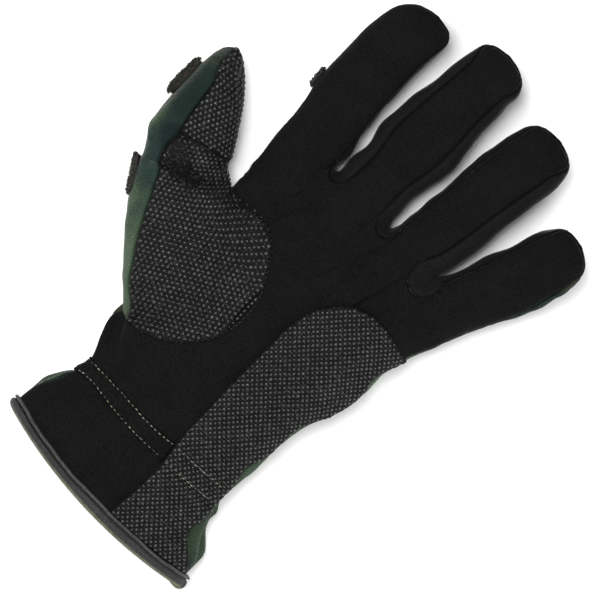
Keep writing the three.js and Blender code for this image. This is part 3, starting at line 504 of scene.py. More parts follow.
def cloth_uv(grid):
    """Millimetres across and along the cloth: running sums of the steps of the grid, from
    the plan place of its middle column and of its first row."""
    rows, cols = grid.shape[:2]
    across = np.linalg.norm(np.diff(grid, axis=1), axis=2).cumsum(1)
    across = np.concatenate([np.zeros((rows, 1)), across], 1)
    across = across - across[:, [cols // 2]] + grid[:, [cols // 2], 0]
    along = np.linalg.norm(np.diff(grid, axis=0), axis=2).cumsum(0)
    along = np.concatenate([np.zeros((1, cols)), along], 0) + grid[:1, :, 1]
    return np.stack([across, along], -1).reshape(-1, 2)


print("last corner of the flat patch, across and along:", cloth_uv(flat_patch)[-1])

# %% A closed sheet of cloth
SURFACES, SEAM_REACH, SOFT_TIMES = {}, 6.0, 4


def cloth_piece(name, outer, inner, cells, relief, material, uv=None, keep=None):
    """A closed sheet. relief(points, seam) gives the height along the softened normals,
    where seam is the distance to the piece's own edge; keep(points) says which cells stay.
    The outer surface is kept in SURFACES for the dots, stitches and fibres."""
    whole, normal = cells, softened(normals(outer, cells), cells, SOFT_TIMES)
    if keep is not None:
        cells = cells[keep(outer[cells].mean(1))]
    rim = open_edges(cells)
    seam = distance_to(outer, outer[np.unique(rim)])
    lean = ((inner[cells].mean(1) - outer[cells].mean(1)) * normal[cells].mean(1)).sum()
    if lean > 0:
        cells, rim, whole, normal = cells[:, ::-1], rim[:, ::-1], whole[:, ::-1], -normal
    shaped = outer + normal * relief(outer, seam)[:, None]
    SURFACES[name] = shaped, normals(shaped, whole)
    used = np.unique(cells)
    half, number = len(used), np.full(len(outer), -1)
    number[used] = np.arange(half)
    front = number[cells]
    a, b = number[rim[:, 0]], number[rim[:, 1]]
    faces = np.concatenate([front, front[:, ::-1] + half, np.stack([b, a, a + half, b + half], 1)])
    points = np.concatenate([shaped[used], inner[used]])
    if uv is not None:
        uv = np.tile(uv[used], (2, 1))
        print(f"{name}: laid flat about {np.ptp(uv[:, 0]):.0f} x {np.ptp(uv[:, 1]):.0f} mm")
    near_seam = np.clip(np.tile(seam[used], 2) / SEAM_REACH, 0, 1)
    return put(name, points, [faces], material, uv, more={"seam": near_seam})


def grid_piece(name, outer, inner, relief, material, keep=None, flat=True):
    """A closed sheet from its outer and its inner grid, with its flat places if wanted."""
    return cloth_piece(name, outer.reshape(-1, 3), inner.reshape(-1, 3),
                       grid_cells(*outer.shape[:2]), relief, material,
                       cloth_uv(outer) if flat else None, keep)


print("a seam's shade ends within", SEAM_REACH, "mm of it")


# %% [markdown]
# ## Relief: seams, folds and soft lumps
#
# A sewn edge turns in, so the cloth rounds down to the seam over about two millimetres,
# and the thread pulls small puckers into it. Folds are valleys along short lines with a
# swollen lip beside them. Soft lumps, a sum of long waves in fixed random directions, keep
# the cloth from looking like plastic.

# %% The relief formulas
def lumps(points, size, seed, waves=14):
    """Waves of about this length in seeded directions, added up and scaled to about 1."""
    rng = np.random.default_rng(seed)
    way = rng.normal(size=(waves, 3))
    length = size * rng.uniform(0.7, 1.5, waves)
    way *= (2 * np.pi / length / np.linalg.norm(way, axis=1))[:, None]
    start = rng.uniform(0, 2 * np.pi, waves)
    return np.sin(points @ way.T + start).sum(1) / math.sqrt(waves / 2)


def turned_edge(seam, depth, reach):
    """A quarter round: the height falls by depth within reach of the seam."""
    return depth * (np.sqrt(1 - (1 - np.clip(seam / reach, 0, 1)) ** 2) - 1)


def puckers(points, seam, height, seed):
    """Short waves that the thread pulls into the cloth, dying out away from the seam."""
    return height * lumps(points, 4.5, seed, 10) * np.exp(-seam / 3.0)


FOLD_NAMES = "x0 y0 x1 y1 depth width lip"


def folds(points, table):
    """For each line: a valley, depth times a bell of the distance across, with a lip
    beside it on the left, both fading past the line's ends."""
    total = np.zeros(len(points))
    for x0, y0, x1, y1, depth, width, lip in zip(*table.values()):
        way = np.array([x1 - x0, y1 - y0])
        long = np.hypot(*way)
        along = ((points[:, 0] - x0) * way[0] + (points[:, 1] - y0) * way[1]) / long
        across = (-(points[:, 0] - x0) * way[1] + (points[:, 1] - y0) * way[0]) / long
        fade = smooth(-2 * width, 2 * width, along)
        fade = fade * smooth(long + 2 * width, long - 2 * width, along)
        total += fade * (lip * bump(across - 1.7 * width, width) - depth * bump(across, width))
    return total


print("relief of a seam, 0 to 2 mm away:", np.round(turned_edge(np.linspace(0, 2, 5), 1.1, 2.2), 2))

# %% [markdown]
# ## Shader node groups
#
# Effects that several finishes share are node groups with named inputs and outputs:
# a fine knitted grain, ribs across the cloth, camouflage blotches and the painted shade
# that darkens the colour near a seam. The shaders themselves stay in each material.

# %% A helper for node trees
def socket(item, name):
    """A node's input with this name that is in use."""
    return next(s for s in item.inputs if s.name == name and s.enabled)


class Nodes:
    """Adds nodes to a tree: each call gives the new node, with its inputs set by name or
    number to a value or linked to an output."""

    def __init__(self, tree):
        self.tree = tree

    def add(self, kind, settings=None, **inputs):
        """A node of this kind. An input called i2 is number 2; others go by their names."""
        item = self.tree.nodes.new(kind)
        for key, value in (settings or {}).items():
            setattr(item, key, value)
        for key, value in inputs.items():
            numbered = key[0] == "i" and key[1:].isdigit()
            target = item.inputs[int(key[1:])] if numbered else socket(item, key.replace("_", " "))
            if isinstance(value, bpy.types.NodeSocket):
                self.join(value, target)
            else:
                target.default_value = value
        return item

    def join(self, value, target):
        """A link from an output to an input."""
        self.tree.links.new(value, target)

    def math(self, operation, a, b=0.0, c=0.0):
        """One step of arithmetic with up to three numbers."""
        return self.add("ShaderNodeMath", {"operation": operation}, i0=a, i1=b, i2=c).outputs[0]

    def noise(self, where, scale, detail=2.0, rough=0.5):
        """Soft random values, on average one half."""
        return self.add("ShaderNodeTexNoise", None, Vector=where, Scale=scale, Detail=detail,
                        Roughness=rough).outputs["Fac"]

    def step(self, value, low, high, to_low=0.0, to_high=1.0):
        """The smooth step from low to high, given as a value from to_low to to_high."""
        return self.add("ShaderNodeMapRange", {"interpolation_type": "SMOOTHSTEP"}, i0=value,
                        i1=low, i2=high, i3=to_low, i4=to_high).outputs[0]

    def blend(self, share, a, b):
        """The colour mixed from a to b by the share."""
        return self.add("ShaderNodeMix", {"data_type": "RGBA"}, i0=share, i6=a, i7=b).outputs[2]

    def mark(self, key):
        """The number that the mesh carries under this name."""
        return self.add("ShaderNodeAttribute", {"attribute_name": key}).outputs["Fac"]

    def split(self, vector):
        """A vector's X, Y and Z."""
        return self.add("ShaderNodeSeparateXYZ", None, Vector=vector).outputs

    def on_cloth(self):
        """Metres across (X) and along (Y) the cloth, from the piece's own UV map."""
        return self.split(self.add("ShaderNodeUVMap", {"uv_map": "cloth"}).outputs[0])


def node_group(name, inputs, outputs):
    """An empty shader group with float, vector or colour sockets."""
    tree = bpy.data.node_groups.new(name, "ShaderNodeTree")
    kinds = {"F": "NodeSocketFloat", "V": "NodeSocketVector", "C": "NodeSocketColor"}
    for label, kind, value in inputs:
        made = tree.interface.new_socket(label, in_out="INPUT", socket_type=kinds[kind])
        if value is not None:
            made.default_value = value
    for label, kind in outputs:
        tree.interface.new_socket(label, in_out="OUTPUT", socket_type=kinds[kind])
    n = Nodes(tree)
    return n, n.add("NodeGroupInput").outputs, n.add("NodeGroupOutput").inputs


def ready(n):
    """Says what a group holds, and gives its tree."""
    print(f"{n.tree.name}: {len(n.tree.nodes)} nodes")
    return n.tree


# %% Knitted grain: fine loops and larger cloudy patches
n, given, out = node_group("knit grain", [("Vector", "V", None), ("Loops", "F", 1100.0)],
                           [("Height", "F"), ("Shade", "F")])
fine = n.noise(given["Vector"], given["Loops"], 2.0, 0.6)
cloudy = n.noise(given["Vector"], 70.0, 3.0, 0.55)
loops = n.step(fine, 0.36, 0.64, -0.34, 0.36)
n.join(n.math("MULTIPLY_ADD", fine, 1.0, n.math("MULTIPLY", cloudy, 0.35)), out["Height"])
n.join(n.math("ADD", n.step(cloudy, 0.25, 0.75, 0.85, 1.1), loops), out["Shade"])
knit_grain = ready(n)

# %% Ribs: a sine of the place along the cloth, bent a little by noise
n, given, out = node_group(
    "cloth ribs",
    [("Along", "F", 0.0), ("Across", "F", 0.0), ("Vector", "V", None), ("Period", "F", 0.0009)],
    [("Height", "F"), ("Shade", "F")])
bent = n.math("MULTIPLY_ADD", n.noise(given["Vector"], 180.0, 2.0), 0.0007, given["Along"])
turns = [n.math("DIVIDE", n.math("MULTIPLY", way, 2 * math.pi), given["Period"])
         for way in (bent, given["Across"])]
wave, loops = (n.math("SINE", turn) for turn in turns)
rib = n.math("MULTIPLY_ADD", loops, 0.35, wave)
n.join(n.step(rib, -1.3, 1.3), out["Height"])
n.join(n.step(rib, -1.0, 0.8, 0.55, 1.22), out["Shade"])
cloth_ribs = ready(n)

# %% Camouflage: three layers of soft blotches laid over a ground colour
BLOTCHES = [("Leaf", 26.0, 0.47, 0.58, 0.0), ("Straw", 22.0, 0.6, 0.68, 0.31),
            ("Shadow", 30.0, 0.6, 0.66, 0.77)]
n, given, out = node_group("camouflage blotches", [
    ("Vector", "V", None), ("Leaf Share", "F", 0.0), ("Ground", "C", (0.017, 0.031, 0.027, 1)),
    ("Leaf", "C", (0.04, 0.064, 0.038, 1)), ("Straw", "C", (0.052, 0.062, 0.04, 1)),
    ("Shadow", "C", (0.01, 0.018, 0.017, 1))], [("Color", "C")])
cover = given["Ground"]
for colour, scale, low, high, shift in BLOTCHES:
    moved = n.add("ShaderNodeMapping", None, Vector=given["Vector"],
                  Location=(shift, shift * 0.6, shift * 0.3)).outputs[0]
    spots = n.noise(moved, scale, 2.5, 0.45)
    spots = n.math("ADD", spots, given["Leaf Share"]) if colour == "Leaf" else spots
    cover = n.blend(n.step(spots, low, high), cover, given[colour])
n.join(cover, out["Color"])
camouflage = ready(n)

# %% Seam shade: painted shade, the cloth's colour darkened in a seam's valley by its seam mark
# painted shade: a colour factor from Dark at the seam up to 1 at Reach, for the shadow in the
# seam's valley
n, given, out = node_group("painted seam shade", [("Dark", "F", 0.55), ("Reach", "F", 0.25)],
                           [("Shade", "F")])
n.join(n.step(n.mark("seam"), 0.0, given["Reach"], given["Dark"], 1.0), out["Shade"])
painted_seam_shade = ready(n)

# %% [markdown]
# ## Cloth materials
#
# The palm is a smooth black knit that hardly shines but has a bright rim where it turns
# away, which is what a sheen layer does. The back is a ribbed knit with camouflage
# blotches. The grip cloth is a dark weave under glossy printed dots, and the cuff tape is
# a grey twill that is khaki along its outer edge.

# %% What the finishes share
SHEEN_TINT, SHEEN_ROUGHNESS = (0.95, 1, 0.9, 1), 0.3


def finish(name, roughness, sheen=0.0, specular=0.04):
    """A material with a Principled BSDF and its output; gives the tree and the shader."""
    material = bpy.data.materials.new(name)
    material.use_nodes = True
    n = Nodes(material.node_tree)
    n.tree.nodes.clear()
    shader = n.add("ShaderNodeBsdfPrincipled", None, Roughness=roughness, Sheen_Weight=sheen,
                   Sheen_Roughness=SHEEN_ROUGHNESS, Sheen_Tint=SHEEN_TINT,
                   Specular_IOR_Level=specular)
    n.join(shader.outputs[0], n.add("ShaderNodeOutputMaterial").inputs[0])
    return material, n, shader


def use(n, tree, **inputs):
    """A group placed in a material; gives its outputs."""
    return n.add("ShaderNodeGroup", {"node_tree": tree}, **inputs).outputs


def place(n):
    """The place on the object, in metres."""
    return n.add("ShaderNodeTexCoord").outputs["Object"]


def painted(n, shader, colour, *shades):
    """The colour multiplied by each shade in turn, as the shader's base colour."""
    for shade in shades:
        colour = n.add("ShaderNodeVectorMath", {"operation": "SCALE"}, i0=colour, Scale=shade)
        colour = colour.outputs[0]
    n.join(colour, shader.inputs["Base Color"])


def bumped(n, shader, height, distance):
    """Relief that only the shading has: the height times a distance in metres."""
    relief = n.add("ShaderNodeBump", None, Height=height, Distance=distance)
    n.join(relief.outputs[0], shader.inputs["Normal"])


print("sheen tint of all cloth:", SHEEN_TINT[:3])

# %% Knits: the palm, the side strips and the wrist band
def knit(name, colour, roughness, sheen, loops):
    """One colour times the grain and the seam shade, with the grain as relief."""
    material, n, shader = finish(name, roughness, sheen)
    grain = use(n, knit_grain, Vector=place(n), Loops=loops)
    # painted shade: the knit's colour darkens towards its seams
    dark = use(n, painted_seam_shade, Dark=0.5, Reach=0.22)
    painted(n, shader, colour, grain["Shade"], dark["Shade"])
    bumped(n, shader, grain["Height"], 0.00012)
    return material


palm_knit = knit("palm knit", (0.0038, 0.0038, 0.004), 0.85, 0.08, 1400.0)
# painted sheen: the strips' colour is set lighter than the palm's, for the brighter sheen on the
# sideways strips
strip_knit = knit("side strip knit", (0.0052, 0.0052, 0.0054), 0.8, 0.22, 1400.0)
band_knit = knit("band knit", (0.0038, 0.0039, 0.0042), 0.88, 0.07, 900.0)
print("knits:", palm_knit.name, strip_knit.name, band_knit.name, sep=", ")

# %% Camouflage knit: the back of the hand and of the thumb
def camouflage_cloth(name, period):
    """Blotches times ribs, grain and seam shade, greener low on the glove and darker
    towards the fingertips and the cuff."""
    material, n, shader = finish(name, 0.8, 0.16)
    where, cloth = place(n), n.on_cloth()
    along = n.split(where)["Y"]
    dimmer = n.math("MULTIPLY", n.step(along, -0.01, 0.03, 1.0, 0.55),
                    n.step(along, -0.1, -0.07, 0.55, 1.0))
    ribs = use(n, cloth_ribs, Along=cloth["Y"], Across=cloth["X"], Vector=where, Period=period)
    grain = use(n, knit_grain, Vector=where, Loops=2200.0)
    # painted shade: the camouflage colour darkens towards its seams
    dark = use(n, painted_seam_shade, Dark=0.45, Reach=0.22)
    share = n.math("MULTIPLY_ADD", n.step(along, -0.035, 0.0), -0.16, 0.06)
    cover = use(n, camouflage, Vector=where, Leaf_Share=share)["Color"]
    painted(n, shader, cover, ribs["Shade"], grain["Shade"], dark["Shade"], dimmer)
    bumped(n, shader, n.math("MULTIPLY_ADD", grain["Height"], 0.4, ribs["Height"]), 0.00028)
    return material


camouflage_knit = camouflage_cloth("camouflage knit", 0.0009)
print("ribs of the", camouflage_knit.name, "are 0.9 mm apart")

# %% Grip cloth: under the printed dots
def grip_weave(name):
    """A dark weave: paler flecks of a very fine noise, over the fine grain."""
    material, n, shader = finish(name, 0.65, 0.02, 0.07)
    where = place(n)
    grain = use(n, knit_grain, Vector=where, Loops=1400.0)
    # painted shade: the weave's colour darkens towards its seams
    dark = use(n, painted_seam_shade, Dark=0.35, Reach=0.2)
    fleck = n.step(n.noise(where, 900.0, 1.0), 0.52, 0.66)
    cover = n.blend(fleck, (0.0024, 0.0024, 0.0026, 1), (0.015, 0.015, 0.016, 1))
    painted(n, shader, cover, grain["Shade"], dark["Shade"])
    bumped(n, shader, n.math("ADD", grain["Height"], fleck), 0.00018)
    return material


grip_cloth = grip_weave("grip cloth")
print("weave:", grip_cloth.name)

# %% Dots, threads and fibres: many small pieces, each with its own tone
def toned(name, low, high, roughness, specular, sheen=0.0):
    """A finish whose colour runs between two tones by the piece's tone mark."""
    material, n, shader = finish(name, roughness, sheen, specular)
    grain = use(n, knit_grain, Vector=place(n), Loops=1500.0)
    painted(n, shader, n.blend(n.mark("tone"), (*low, 1), (*high, 1)), grain["Shade"])
    bumped(n, shader, grain["Height"], 0.00005)
    return material


grip_dots = toned("grip dots", (0.0035, 0.0035, 0.0037), (0.0285, 0.0285, 0.029), 0.25, 0.32)
thread = toned("khaki thread", (0.05, 0.05, 0.037), (0.27, 0.27, 0.2), 0.6, 0.2)
black_thread = toned("black thread", (0.004, 0.004, 0.004), (0.014, 0.014, 0.015), 0.6, 0.2)
fuzz = toned("fuzzy fibres", (0.0055, 0.0052, 0.005), (0.085, 0.08, 0.07), 0.75, 0.15, 0.05)
print("toned:", grip_dots.name, thread.name, black_thread.name, fuzz.name, sep=", ")

# %% Cuff tape: a grey twill
def woven_tape(name):
    """Grey twill, khaki along the outer edge, light along the ridge, and darkened by painted
    shade in the groove beside it, as the tone, ridge and groove marks say."""
    material, n, shader = finish(name, 0.65, 0.1, 0.2)
    where, cloth = place(n), n.on_cloth()
    # painted shade: the colour falls to 0.08 in the groove, for the shadow in the gap beside the
    # ridge
    groove = n.step(n.mark("groove"), 0.1, 0.8, 1.0, 0.08)
    slant = n.math("ADD", cloth["X"], cloth["Y"])
    twill = use(n, cloth_ribs, Along=slant, Across=cloth["Y"], Vector=where, Period=0.0008)
    grain = use(n, knit_grain, Vector=where, Loops=1200.0)
    cover = n.blend(n.mark("tone"), (0.021, 0.0215, 0.021, 1), (0.105, 0.107, 0.07, 1))
    cover = n.blend(n.mark("ridge"), cover, (0.05, 0.05, 0.05, 1))
    painted(n, shader, cover, twill["Shade"], grain["Shade"], groove)
    bumped(n, shader, n.math("MULTIPLY_ADD", grain["Height"], 0.5, twill["Height"]), 0.00012)
    return material


cuff_tape = woven_tape("cuff tape")
print("tape:", cuff_tape.name)

# %% [markdown]
# ## Palm and back
#
# Both are one piece of cloth that splits into four fingers, like a comb. The columns of
# the grid start at the cuff, run up the hand and turn into the columns of a finger or end
# at a crotch. The grid is finer near seams, where the cloth rounds down.

# %% Steps and blocks of columns
PALM_GRID, BACK_GRID = (32, 9, 150, 84), (26, 9, 130, 72)


def crowded(steps, share):
    """0 to 1 in steps that are smaller at both ends: a mix of even and cosine steps."""
    s = np.linspace(0, 1, steps + 1)
    return mix(s, 0.5 - 0.5 * np.cos(np.pi * s), share)


def column_blocks(share, crotch_columns):
    """The columns from the thumb side on: each finger's, then the crotch's beside it."""
    blocks = []
    for index, finger in enumerate(FINGERS):
        blocks.append((finger, share, None))
        if index < len(WEBS):
            station = crotch_stations(index, crotch_columns)
            between = {k: (v if k == "drift" else v[1:-1]) for k, v in station.items()}
            blocks.append((None, None, between))
    return blocks


def block_points(block, face, at, inset):
    """Points of one block: a finger's section at a share of its length, or the edge of the
    cloth round a crotch."""
    finger, share, station = block
    if finger is not None:
        left, right = finger_edges(finger, at, face)
        return finger_point(finger, at, mix(left, right, share), inset)
    angle = station["seam"] + gap_angle(station["half"], station["thick"], station["seam"])
    return crotch_point(station, angle if face > 0 else 2 * np.pi - angle, inset)


print("a finger's columns, as shares:", np.round(crowded(8, 0.6), 3))

# %% The grids of the hand and the fingers
def hand_angles(face, roots, y, t):
    """Section angles over the hand: even low in the hand, and each column's own at the
    knuckles, between the left and the right seam."""
    across = (roots[:, 0] - body("centre", roots[:, 1])) / body("half", roots[:, 1])
    own = angle_at(np.clip(across, -0.9999, 0.9999), BODY_SQUARENESS)
    own = (own - own[0]) / (own[-1] - own[0])
    share = mix(np.linspace(0, 1, len(own)), own, smooth(0.4, 0.95, t)[:, None])
    slack = GAP / 2 / (body("rise", y) * PALM_RISE)
    left = np.pi + left_seam(y) - face * slack
    right = right_seam(y) + slack if face > 0 else 2 * np.pi + right_seam(y) - slack
    return mix(left, right, share)


def hand_grid(face, inset, blocks, rows):
    """The body's surface, mixed near the knuckles with the surfaces of the fingers and
    crotches carried back into the hand; there its heights are smoothed over the columns."""
    roots = np.concatenate([block_points(block, face, np.float64(0), 0.0) for block in blocks])
    t = 1 - (1 - np.linspace(0, 1, rows + 1)) ** 1.25
    y = mix(-CUFF_DEPTH, roots[:, 1], t[:, None])
    hand = body_point(y, hand_angles(face, roots, y, t), inset)
    ahead, start = [], 0
    for block in blocks:
        finger, share, station = block
        count = len(share) if finger is not None else len(station["half"])
        fall = roots[start:start + count, 1] - y[:, start:start + count]
        if finger is not None:
            ahead.append(block_points(block, face, -fall / finger["length"], inset))
        else:
            base = block_points(block, face, None, inset) + np.zeros(fall.shape + (3,))
            ahead.append(base - point(station["drift"][0] * fall, station["drift"][1] * fall, 0))
        start += count
    hand = mix(hand, np.concatenate(ahead, axis=1), smooth(0.76, 1, t)[:, None, None])
    level = hand[..., 2].copy()
    for _ in range(14):
        level[:, 1:-1] = (level[:, :-2] + 2 * level[:, 1:-1] + level[:, 2:]) / 4
    knuckles = (smooth(0.7, 0.85, t) * smooth(1, 0.93, t))[:, None]
    hand[..., 2] = mix(hand[..., 2], level, knuckles)
    return hand


def finger_grid(finger, face, inset, share, rows):
    """A finger's rows, closer together towards the tip, from seam to seam."""
    at = (1 - (1 - np.linspace(0, 1, rows + 1)) ** 1.35)[1:, None]
    left, right = finger_edges(finger, at, face)
    return finger_point(finger, at, mix(left, right, share), inset)


def hand_grids(face, inset, finger_columns, crotch_columns, hand_rows, finger_rows):
    """The hand's grid, and one grid for each finger, of the palm (1) or the back (-1)."""
    share = crowded(finger_columns, 0.6)
    hand = hand_grid(face, inset, column_blocks(share, crotch_columns), hand_rows)
    return hand, [finger_grid(finger, face, inset, share, finger_rows) for finger in FINGERS]


print("a coarse palm grid has", hand_grids(1, 0.0, 4, 3, 6, 3)[0].shape[1], "columns")

# %% The comb-shaped sheet
def hand_cells(hand, fingers, finger_columns, crotch_columns):
    """Cells of the hand's grid, of each finger's grid, and of the row between them."""
    rows, cols = hand.shape[:2]
    cells, first = [grid_cells(rows, cols)], rows * cols
    for index, grid in enumerate(fingers):
        start = (rows - 1) * cols + index * (finger_columns + crotch_columns)
        j = np.arange(finger_columns)
        cells.append(np.stack([start + j, start + j + 1, first + j + 1, first + j], 1))
        cells.append(grid_cells(grid.shape[0], grid.shape[1], first))
        first += grid.shape[0] * grid.shape[1]
    return np.concatenate(cells)


def thumb_root_edge():
    """Plan line along which the palm cloth ends below the ball of the thumb."""
    x, y, across, half, *_ = thumb_section(np.linspace(0.9, 6.6, 24))
    reach = half - THUMB_LAP
    return x + across[0] * reach, y + across[1] * reach


def outside_thumb_root(points, low):
    """True where cloth stays: not in the way from the palm into the thumb, above low."""
    edge_x, edge_y = thumb_root_edge()
    order = np.argsort(edge_y)
    x = np.interp(points[:, 1], edge_y[order], edge_x[order])
    inside = (points[:, 0] < x) & (points[:, 1] > edge_y.min()) & (points[:, 1] < edge_y.max())
    return ~(inside & (points[:, 2] > low))


def hand_piece(name, face, relief, material, low, size):
    """Makes the palm or the back piece with its thickness and relief."""
    outer, outer_fingers = hand_grids(face, 0.0, *size)
    inner, inner_fingers = hand_grids(face, CLOTH_WALL, *size)
    cells = hand_cells(outer, outer_fingers, size[0], size[1])
    points, lining = (np.concatenate([g.reshape(-1, 3) for g in [hand, *fingers]])
                      for hand, fingers in ((outer, outer_fingers), (inner, inner_fingers)))
    uv = np.concatenate([cloth_uv(g) for g in [outer, *outer_fingers]])
    return cloth_piece(name, points, lining, cells, relief, material, uv,
                       lambda p: outside_thumb_root(p, low))


print("grid of the palm, with its fingers:", PALM_GRID, "and of the back:", BACK_GRID)


# %% [markdown]
# ## The thumb
#
# The thumb and its ball are rows that fan out round the crotch between thumb and palm.
# A row's outer half is a squared ellipse. Its inner half comes down onto the palm where
# the row is open, and turns under as a free side where it is not.

# %% The thumb as a surface of row number and section angle
THUMB = columns("across along half turn border rise open", [
    (0, 0, 0.06, -13, 0.42, 0.6, 1), (0.04, 0.078, 0.255, -3, 0.13, 0.8, 1),
    (0.049, 0.189, 0.403, 3, 0.1, 0.97, 1), (0.023, 0.307, 0.483, 9.9, 0.11, 1, 1),
    (-0.037, 0.418, 0.5, 13.7, 0.14, 0.96, 1), (-0.123, 0.529, 0.468, 15.5, 0.17, 0.86, 1),
    (-0.2, 0.54, 0.355, 18, 0.19, 0.72, 0.9), (-0.266, 0.588, 0.296, 16.7, 0.27, 0.6, 0.15),
    (-0.296, 0.65, 0.279, 15, 0.35, 0.59, 0), (-0.319, 0.748, 0.244, 5, 0.35, 0.58, 0),
    (-0.35, 0.852, 0.19, 2, 0.38, 0.54, 0), (-0.378, 0.926, 0.138, 3, 0.3, 0.45, 0),
    (-0.402, 0.983, 0.07, 8, 0.38, 0.2, 0),
])
THUMB_FOOT = (-0.369 * PALM_WIDTH, 0.211 * PALM_DEPTH)


def thumb_section(row):
    """Middle, direction across, half width, openness, border angle, rise, drop and the
    height on which the row's inner end rests."""
    rows = np.arange(len(THUMB["across"]))
    read = {key: curve(rows, THUMB[key], row) for key in THUMB}
    turn, half = np.radians(read["turn"]), read["half"] * THENAR_WIDTH
    opened = np.clip(read["open"], 0, 1)
    close = np.clip(row - THUMB_TIP + 1, 0, 1)
    x = THUMB_FOOT[0] + read["across"] * THUMB_LENGTH
    y = THUMB_FOOT[1] + read["along"] * THUMB_LENGTH
    across = (np.cos(turn), np.sin(turn))
    border = angle_at(2 * read["border"] - 1, THUMB_SQUARENESS)
    rise = read["rise"] * THENAR_RISE * mix(1, 0.35, close**2)
    drop = mix(1, THUMB_RISE / THUMB_DROP, smooth(6, 9, row)) * THUMB_DROP * mix(1, 0.2, close**2)
    rest = np.maximum(THUMB_MID, palm_top(x + across[0] * half, y + across[1] * half))
    return x, y, across, half, opened, border, rise, drop, mix(THUMB_MID, rest, opened)


def thumb_point(row, angle, inset=0.0):
    """Outer half: squared ellipse. Inner half: a cosine ramp down to the palm where the
    row is open. Below the side seam: squared ellipse, flattened by the table."""
    x, y, across, half, opened, _, rise, drop, rest = thumb_section(row)
    c, s = squircle(angle, THUMB_SQUARENESS)
    side = np.where((c > 0) & (s >= 0), 1 - opened, 1)
    wide = np.maximum(half - inset * side, 0.3 * half) * c
    full = THUMB_FULL * np.clip(row - THUMB_TIP + 1.2, 0, 1.2) ** 1.4 * (1 - c * c)
    x, y = x + across[0] * wide - across[1] * full, y + across[1] * wide + across[0] * full
    under = np.maximum(inset, THUMB_MID + np.maximum(drop - inset, 0.2) * s)
    top = THUMB_MID + np.maximum(rise - inset, GAP)
    outer = mix(THUMB_MID, top, s) - pressed(x, y) * s
    low = rest - inset * opened
    ramp = mix(s, 0.5 + 0.5 * np.cos(np.pi * c), opened)
    inner = mix(low, np.maximum(top, low + GAP), ramp) - pressed(x, y) * s * (1 - opened)
    return point(x, y, np.where(s < 0, under, np.where(c <= 0, outer, inner)))


def clear_of_palm(points, lift):
    """Raises points over the palm cloth by at least lift."""
    floor = palm_top(points[..., 0], points[..., 1])
    raised = np.maximum(points[..., 2], np.where(floor > 0, floor + lift, 0))
    return point(points[..., 0], points[..., 1], raised)


def thumb_seams(row):
    """Border angle, half a gap there, and the seam on the free side."""
    _, _, _, half, opened, border, rise, _, _ = thumb_section(row)
    slack = GAP / 2 / np.hypot(half * np.sin(border), rise * np.cos(border))
    return border, slack, THUMB_SIDE * (1 - opened) * (1 - smooth(THUMB_TIP - 2, THUMB_TIP, row))


def thumb_front(row, v):
    """From the border, v 0, to the palm or the free side, v 1."""
    border, slack, side = thumb_seams(row)
    return mix(border - slack, side, v)


print("thumb tip:", np.round(thumb_point(np.float64(12), np.float64(np.pi / 2)) + FROM_WRIST, 1))

# %% [markdown]
# ### Relief of the palm and the back
#
# The palm cloth has a deep fold at the foot of the thumb, small pleats where the elastic
# band gathers it, a crease across the middle finger, and a line pressed in just inside
# each fingertip, where the turned seam lies below. The back is gathered more.

# %% Relief of the palm and the back
PALM_FOLDS = columns(FOLD_NAMES, [
    (-54, 38, -40, 16, 3.4, 3.6, 1.6),
    (-44, 15, -24, 22, 0.9, 3.8, 0.2),
    (-16, 168, 8, 165, 0.7, 1.6, 0.25),
    (-58, 118, -44, 110, 0.8, 2.5, 0.2),
    (-24, 138, -20, 126, 0.5, 1.6, 0.2),
    (9, 136, 8, 124, 0.6, 1.6, 0.2),
    (38, 127, 33, 117, 0.6, 1.8, 0.2),
    (44, 40, 34, 46, 0.5, 2.0, 0.2),
])
BAND_HALF = 4.0


def wrist_pleats(points, height, pitch, reach):
    """Pleats beside the elastic: a sine across the hand that dies out away from it."""
    x, away = points[:, 0], np.maximum(0, np.abs(points[:, 1]) - BAND_HALF)
    wave = np.sin(2 * np.pi * x / pitch + 1.6 * np.sin(x / 9))
    return height * wave * np.exp(-away / reach) * smooth(0, 1.5, away)


def tip_line(points, seam):
    """A groove three millimetres inside the edge, near the fingertips only."""
    groove = 0
    for finger in FINGERS:
        tip = finger["root"] + finger["ahead"] * finger["length"]
        near = 1 - smooth(9, 17, np.hypot(points[:, 0] - tip[0], points[:, 1] - tip[1]))
        groove = np.maximum(groove, near)
    return -0.7 * groove * bump(seam - 3.0, 0.6)


def palm_lumps(points):
    """Soft lumps of the palm, which the heel patch laid on it shares."""
    return 0.4 * lumps(points, 30, 3) + 0.16 * lumps(points, 11, 4)


def palm_relief(points, seam):
    """Turned edge, puckers, lumps, folds, pleats and the lines at the fingertips, added."""
    cuff = smooth(-CUFF_DEPTH, -CUFF_DEPTH + 9, points[:, 1])
    low = 0.3 + 0.7 * bump(points[:, 1] - 70, 60)
    return (turned_edge(seam, 1.15, 2.6) + puckers(points, seam, 0.12, 5) * cuff * low
            + palm_lumps(points) * cuff * smooth(0, 6, seam) + folds(points, PALM_FOLDS)
            + wrist_pleats(points, 0.4, 7.5, 5.0) + tip_line(points, seam))


def back_relief(points, seam):
    """Turned edge, puckers, lumps and pleats, added, and none where the table presses."""
    free = smooth(1.0, 6.0, points[:, 2])
    soft = 0.4 * lumps(points, 26, 6) + 0.2 * lumps(points, 10, 7)
    return (turned_edge(seam, 1.1, 2.4) + puckers(points, seam, 0.16, 8) * free
            + soft * free * smooth(0, 6, seam) + wrist_pleats(points, 0.3, 9.5, 8.0) * free)


print("deepest fold of the palm:", PALM_FOLDS["depth"].max(), "mm")

# %% Make the palm and the back
palm = hand_piece("palm_cloth", 1, palm_relief, palm_knit, PALM_MID * 0.4, PALM_GRID)
back = hand_piece("back_cloth", -1, back_relief, camouflage_knit, 3.0, BACK_GRID)

# %% [markdown]
# ## Side strips
#
# A strip runs down the side of one finger, round the crotch and up the side of the next.
# It is the same section formula as the fingers, between the two seam angles.

